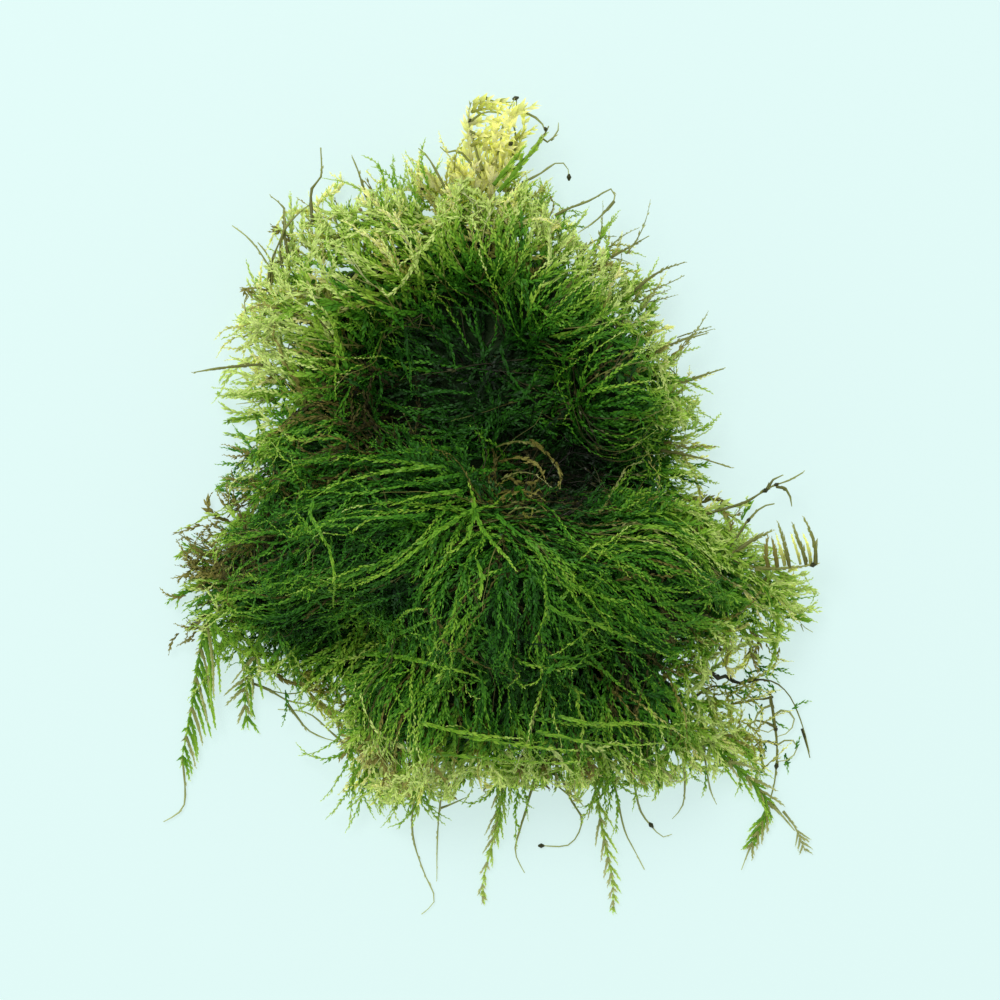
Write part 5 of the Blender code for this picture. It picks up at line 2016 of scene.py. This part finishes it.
GREEN_THREAD = Look(Growth.LIVING, 0.52, 0.6)
LIGHT_THREAD = Look(Growth.LIVING, 0.63, 0.73, size=1.1)
# Threads in the dark hollow: their dark tone is painted shade.
HOLLOW_SHADED_THREAD = Look(Growth.LIVING, 0.27, 0.38, size=0.9)
SUNNY_THREAD = Look(Growth.LIVING, 0.7, 0.82, size=1.05)
OLD_THREAD = Look(Growth.BROWNED, 0.75, 0.95, leafy=0.7)
WAN_THREAD = Look(Growth.BARE, 0.66, 0.84, leafy=0.7, size=0.9)
PALE_THREAD = Look(Growth.BLEACHED, 0.3, 0.5, leafy=0.8, size=0.8)

# Long shoots that lie on top of the cushion, by the place on the ground that each point hides: x y in mm.
THREADS = (
    (LIGHT_THREAD, "-5.9 4.9, -9.9 4.7, -13.5 4, -16.8 3.3, -20.2 2.3, -22.8 0.7"),
    (GREEN_THREAD, "-2.9 7, -5.9 7.3, -9.9 7, -14.5 6.3, -18.1 5"),
    (GREEN_THREAD, "-7.9 -1.3, -12.5 -1.7, -17.8 -1.8, -22.1 -2.3"),
    (LIGHT_THREAD, "-3.5 1.7, -7.9 1.2, -12.5 0"),
    (GREEN_THREAD, "-3.5 3.9, -7.7 3, -12.6 2.1, -17.3 1.3, -20.7 1.6"),
    (LIGHT_THREAD, "-22.8 0.7, -23.1 -1.3, -21.1 -5.3, -20.2 -8.6, -20.2 -13.3"),
    (LIGHT_THREAD, "-1.7 -0.8, -5.2 -2.7, -8.5 -4.9, -11.8 -7.7, -15.2 -9.6, -17.8 -10.9"),
    (LIGHT_THREAD, "-1.8 -1.2, -2.2 1.3, -2.7 2.6"),
    (LIGHT_THREAD, "-2 -1, 0.8 0, 2.3 1.6"),
    (LIGHT_THREAD, "-2 -0.5, -1.2 -2.7, 0.1 -4.7, 2.1 -7, 3.4 -8.6"),
    (LIGHT_THREAD, "-1.7 -1, -2.6 -4, -3.5 -5.6, -5.2 -6.3"),
    (GREEN_THREAD, "0.8 -1.3, 3.1 -3.3, 5.7 -5.3, 7.4 -7.9, 10.4 -10.3"),
    (HOLLOW_SHADED_THREAD, "-18.7 16.4, -16.5 15.2, -12.5 12.9, -9.5 10.9, -6.5 9.6, -3.2 9"),
    (LIGHT_THREAD, "7.3 -12.9, 9.4 -14.3, 13.7 -15.6, 18 -17.3, 21.6 -19, 24.8 -20.5"),
    (LIGHT_THREAD, "-16.5 -19.6, -11.2 -19.9, -7.2 -20.9, -2.9 -21.9, -0.6 -23.2"),
    (LIGHT_THREAD, "-14.7 -16.6, -12.5 -15.6, -10.5 -13.9, -8.5 -13.6"),
    (GREEN_THREAD, "-13.7 -17.4, -11.3 -16.6, -8.3 -15.3, -6.2 -14.7"),
    (GREEN_THREAD, "12.5 -18.5, 13 -19.6, 16 -22.6, 18.7 -24.6"),
    (GREEN_THREAD, "7.3 -22, 9.6 -20.5, 12.2 -19.5"),
    (WAN_THREAD, "14.4 -1, 15.3 0, 16.6 2.6, 18 5, 19.8 5.5"),
    (WAN_THREAD, "1 7.4, 3.4 8.1, 6.4 7.4, 8.2 5.7, 9.4 3.4, 9.2 1.6"),
    (OLD_THREAD, "1.4 5.5, 4 5.9, 6.6 4.9, 7.3 3.1"),
    (WAN_THREAD, "1.6 3.1, 4 4.1, 6.4 3.6, 7.9 2.3"),
    (OLD_THREAD, "1.4 0.6, 3.4 1.7, 5.6 1.5, 7.3 0.5"),
    (WAN_THREAD, "2.5 -1.2, 4 -0.4, 5.7 -0.6"),
    (OLD_THREAD, "5.3 8.3, 6.6 7.4, 8.1 6, 9.4 4, 9.1 2.1, 10 0.5"),
    (OLD_THREAD, "2.1 3.6, 3.8 2.7, 5.9 2.7, 7 3.9, 6.1 5.2, 4.5 5.3"),
    (OLD_THREAD, "1.2 1.3, 3.6 1.8, 5.9 0.5, 7.4 -0.9"),
    (PALE_THREAD, "4.4 -1, 5.2 -2, 5.6 -0.5"),
    (HOLLOW_SHADED_THREAD, "-10.5 23.7, -10.7 20.7, -10.3 17.9, -10.1 14.8"),
    (HOLLOW_SHADED_THREAD, "-11.8 20.7, -11.1 17.9, -9.8 15.1"),
    (HOLLOW_SHADED_THREAD, "-6 23.3, -5.1 20.7, -4.4 17.7"),
    (HOLLOW_SHADED_THREAD, "1.4 20.7, 2.2 17.9, 4 15.1, 6.1 13"),
    (HOLLOW_SHADED_THREAD, "-9 14.2, -5.7 14.7, -2.7 14.4"),
    (HOLLOW_SHADED_THREAD, "-6.4 10.3, -4.4 9.2, -1.7 10, -0.1 9.5"),
    (GREEN_THREAD, "-0.9 -22.6, -0.5 -26, 0.1 -29.4"),
    (GREEN_THREAD, "7.5 -19.9, 12.2 -20.3, 14.4 -21.6"),
    (LIGHT_THREAD, "-1.6 -7.3, -0.9 -9.5, -1.2 -12"),
    (SUNNY_THREAD, "-7.7 -32.4, -2 -32.9, 4 -33.4, 10 -33.6, 15 -33.4"),
    (SUNNY_THREAD, "-4 -30.2, 2 -31, 8 -31.8, 13 -32.2"),
    (SUNNY_THREAD, "6 -29.6, 12 -30.8, 18 -31.4, 23 -31"),
    (SUNNY_THREAD, "-9 -28.2, -5 -29.4, 0 -30.2, 4 -30.4"),
    (SUNNY_THREAD, "9 -27.6, 14 -28.6, 20 -28.4, 25 -29.4"),
)


@dataclass
class LongThreads:
    """The long shoots that lie across the cushion, draped over it where the camera sees them.

    Attributes:
        cushion: The surface that they lie on.
        tree: The node tree that they grow with.
    """

    cushion: Cushion
    tree: GrowthTree

    STRIDE = 1.6 * MM
    LIFT = 1.8 * MM  # how far they lie over the cushion's surface
    BRIDGED = 2  # how often the dips under a shoot are bridged
    HABIT = Habit(
        wander=0.3 * MM, leaf_lean=math.radians(15), leaf_spacing=0.3 * MM, stem_radius=0.16 * MM
    )
    SEED = 400

    def draped(self, look: Look, route_mm: str) -> Line:
        """Drapes one thread.

        Args:
            look: How it looks.
            route_mm: The places on the ground that it hides from the camera.

        Returns:
            Its line.
        """
        flat = [Vector([float(value) for value in f"{point} 0".split()]) for point in route_mm.split(",")]
        ends = [2 * flat[0] - flat[1], *flat, 2 * flat[-1] - flat[-2]]
        ground = []
        for i in range(len(flat) - 1):
            parts = max(1, round((flat[i + 1] - flat[i]).length * MM / self.STRIDE))
            ground += [spline_place(*ends[i : i + 4], k / parts) for k in range(parts)]
        ground.append(flat[-1])
        seen = [self.cushion.seen_at(place.x, place.y) for place in ground]
        places = [place.lerp(CAMERA_PLACE, self.LIFT / (CAMERA_PLACE - place).length) for place, _ in seen]
        for _ in range(self.BRIDGED):
            heights = [place.z for place in places]
            for i in range(1, len(places) - 1):
                level = max(heights[i], (heights[i - 1] + heights[i + 1]) / 2)
                places[i] = places[i].lerp(CAMERA_PLACE, (level - heights[i]) / (CAMERA_PLACE.z - heights[i]))
        return look.line(places, [normal for _, normal in seen])

    def build(self) -> None:
        """Lays them."""
        lines = [self.draped(look, route) for look, route in THREADS]
        settle(self.tree.grow("long_threads", lines, self.HABIT, self.SEED), "moss_green", Cushion.NODE)


# ---- the studio

CAMERA_PLACE = Vector((1.43, 0.52, 487)) * MM
LENS_MM = 135


class Studio:
    """The floor, the light and the camera."""

    FLOOR = "#e1faf7"
    FLOOR_SIZE = 3.0  # half its width
    GLOW = 0.74  # share of the floor's brightness that is its own, as on a light table
    TINT = 0.27
    SKY = 0.6
    LAMP = 4.4
    LAMP_SIZE = 0.5
    LAMP_PLACE = Vector((-0.3, 0.4, 0.8))
    SENSOR_MM = 36
    NEAREST = 0.01  # what the camera sees is further off than this

    def build(self) -> None:
        """Builds the studio."""
        self.floor()
        self.lights()
        self.camera()

    def floor(self) -> None:
        """A plain pale floor that glows a little, like a light table."""
        bm = bmesh.new()
        bmesh.ops.create_grid(bm, x_segments=1, y_segments=1, size=self.FLOOR_SIZE)
        floor = new_object("studio_floor", bm)
        made = bpy.data.materials.new("pale_floor")
        made.use_nodes = True
        look = {
            "Base Color": [self.TINT * value for value in linear(self.FLOOR)[:3]] + [1],
            "Roughness": 0.9,
            "Specular IOR Level": 0.0,
            "Emission Color": linear(self.FLOOR),
            "Emission Strength": self.GLOW,
        }
        for name, value in look.items():
            made.node_tree.nodes["Principled BSDF"].inputs[name].default_value = value
        floor.data.materials.append(made)

    def lights(self) -> None:
        """A soft sky, and a broad light from the upper left."""
        world = bpy.data.worlds.new("soft_sky")
        world.use_nodes = True
        for name, value in {"Color": (1, 1, 1, 1), "Strength": self.SKY}.items():
            world.node_tree.nodes["Background"].inputs[name].default_value = value
        bpy.context.scene.world = world
        light = bpy.data.lights.new("broad_light", "AREA")
        light.shape, light.size, light.energy = "DISK", self.LAMP_SIZE, self.LAMP
        lamp = placed("broad_light", light)
        lamp.location = self.LAMP_PLACE
        lamp.rotation_euler = (-lamp.location).to_track_quat("-Z", "Y").to_euler()

    def camera(self) -> None:
        """Looks straight down."""
        data = bpy.data.cameras.new("camera")
        data.lens, data.sensor_width, data.clip_start = LENS_MM, self.SENSOR_MM, self.NEAREST
        camera = placed("camera", data)
        camera.location = CAMERA_PLACE
        bpy.context.scene.camera = camera
        bpy.context.scene.view_settings.view_transform = "Standard"


def main() -> None:
    """Builds the clump and its studio."""
    logging.basicConfig(level=logging.INFO, format="%(message)s")
    Studio().build()
    cushion = Cushion()
    tree = GrowthTree(FINISHES)
    Heart().build(cushion.outline, tree)
    MossSward(cushion, tree).build()
    LongThreads(cushion, tree).build()
    SingleGrowth(tree).build()
    PaleTuft(tree).build()
    tree.clear()


if __name__ == "__main__":
    main()
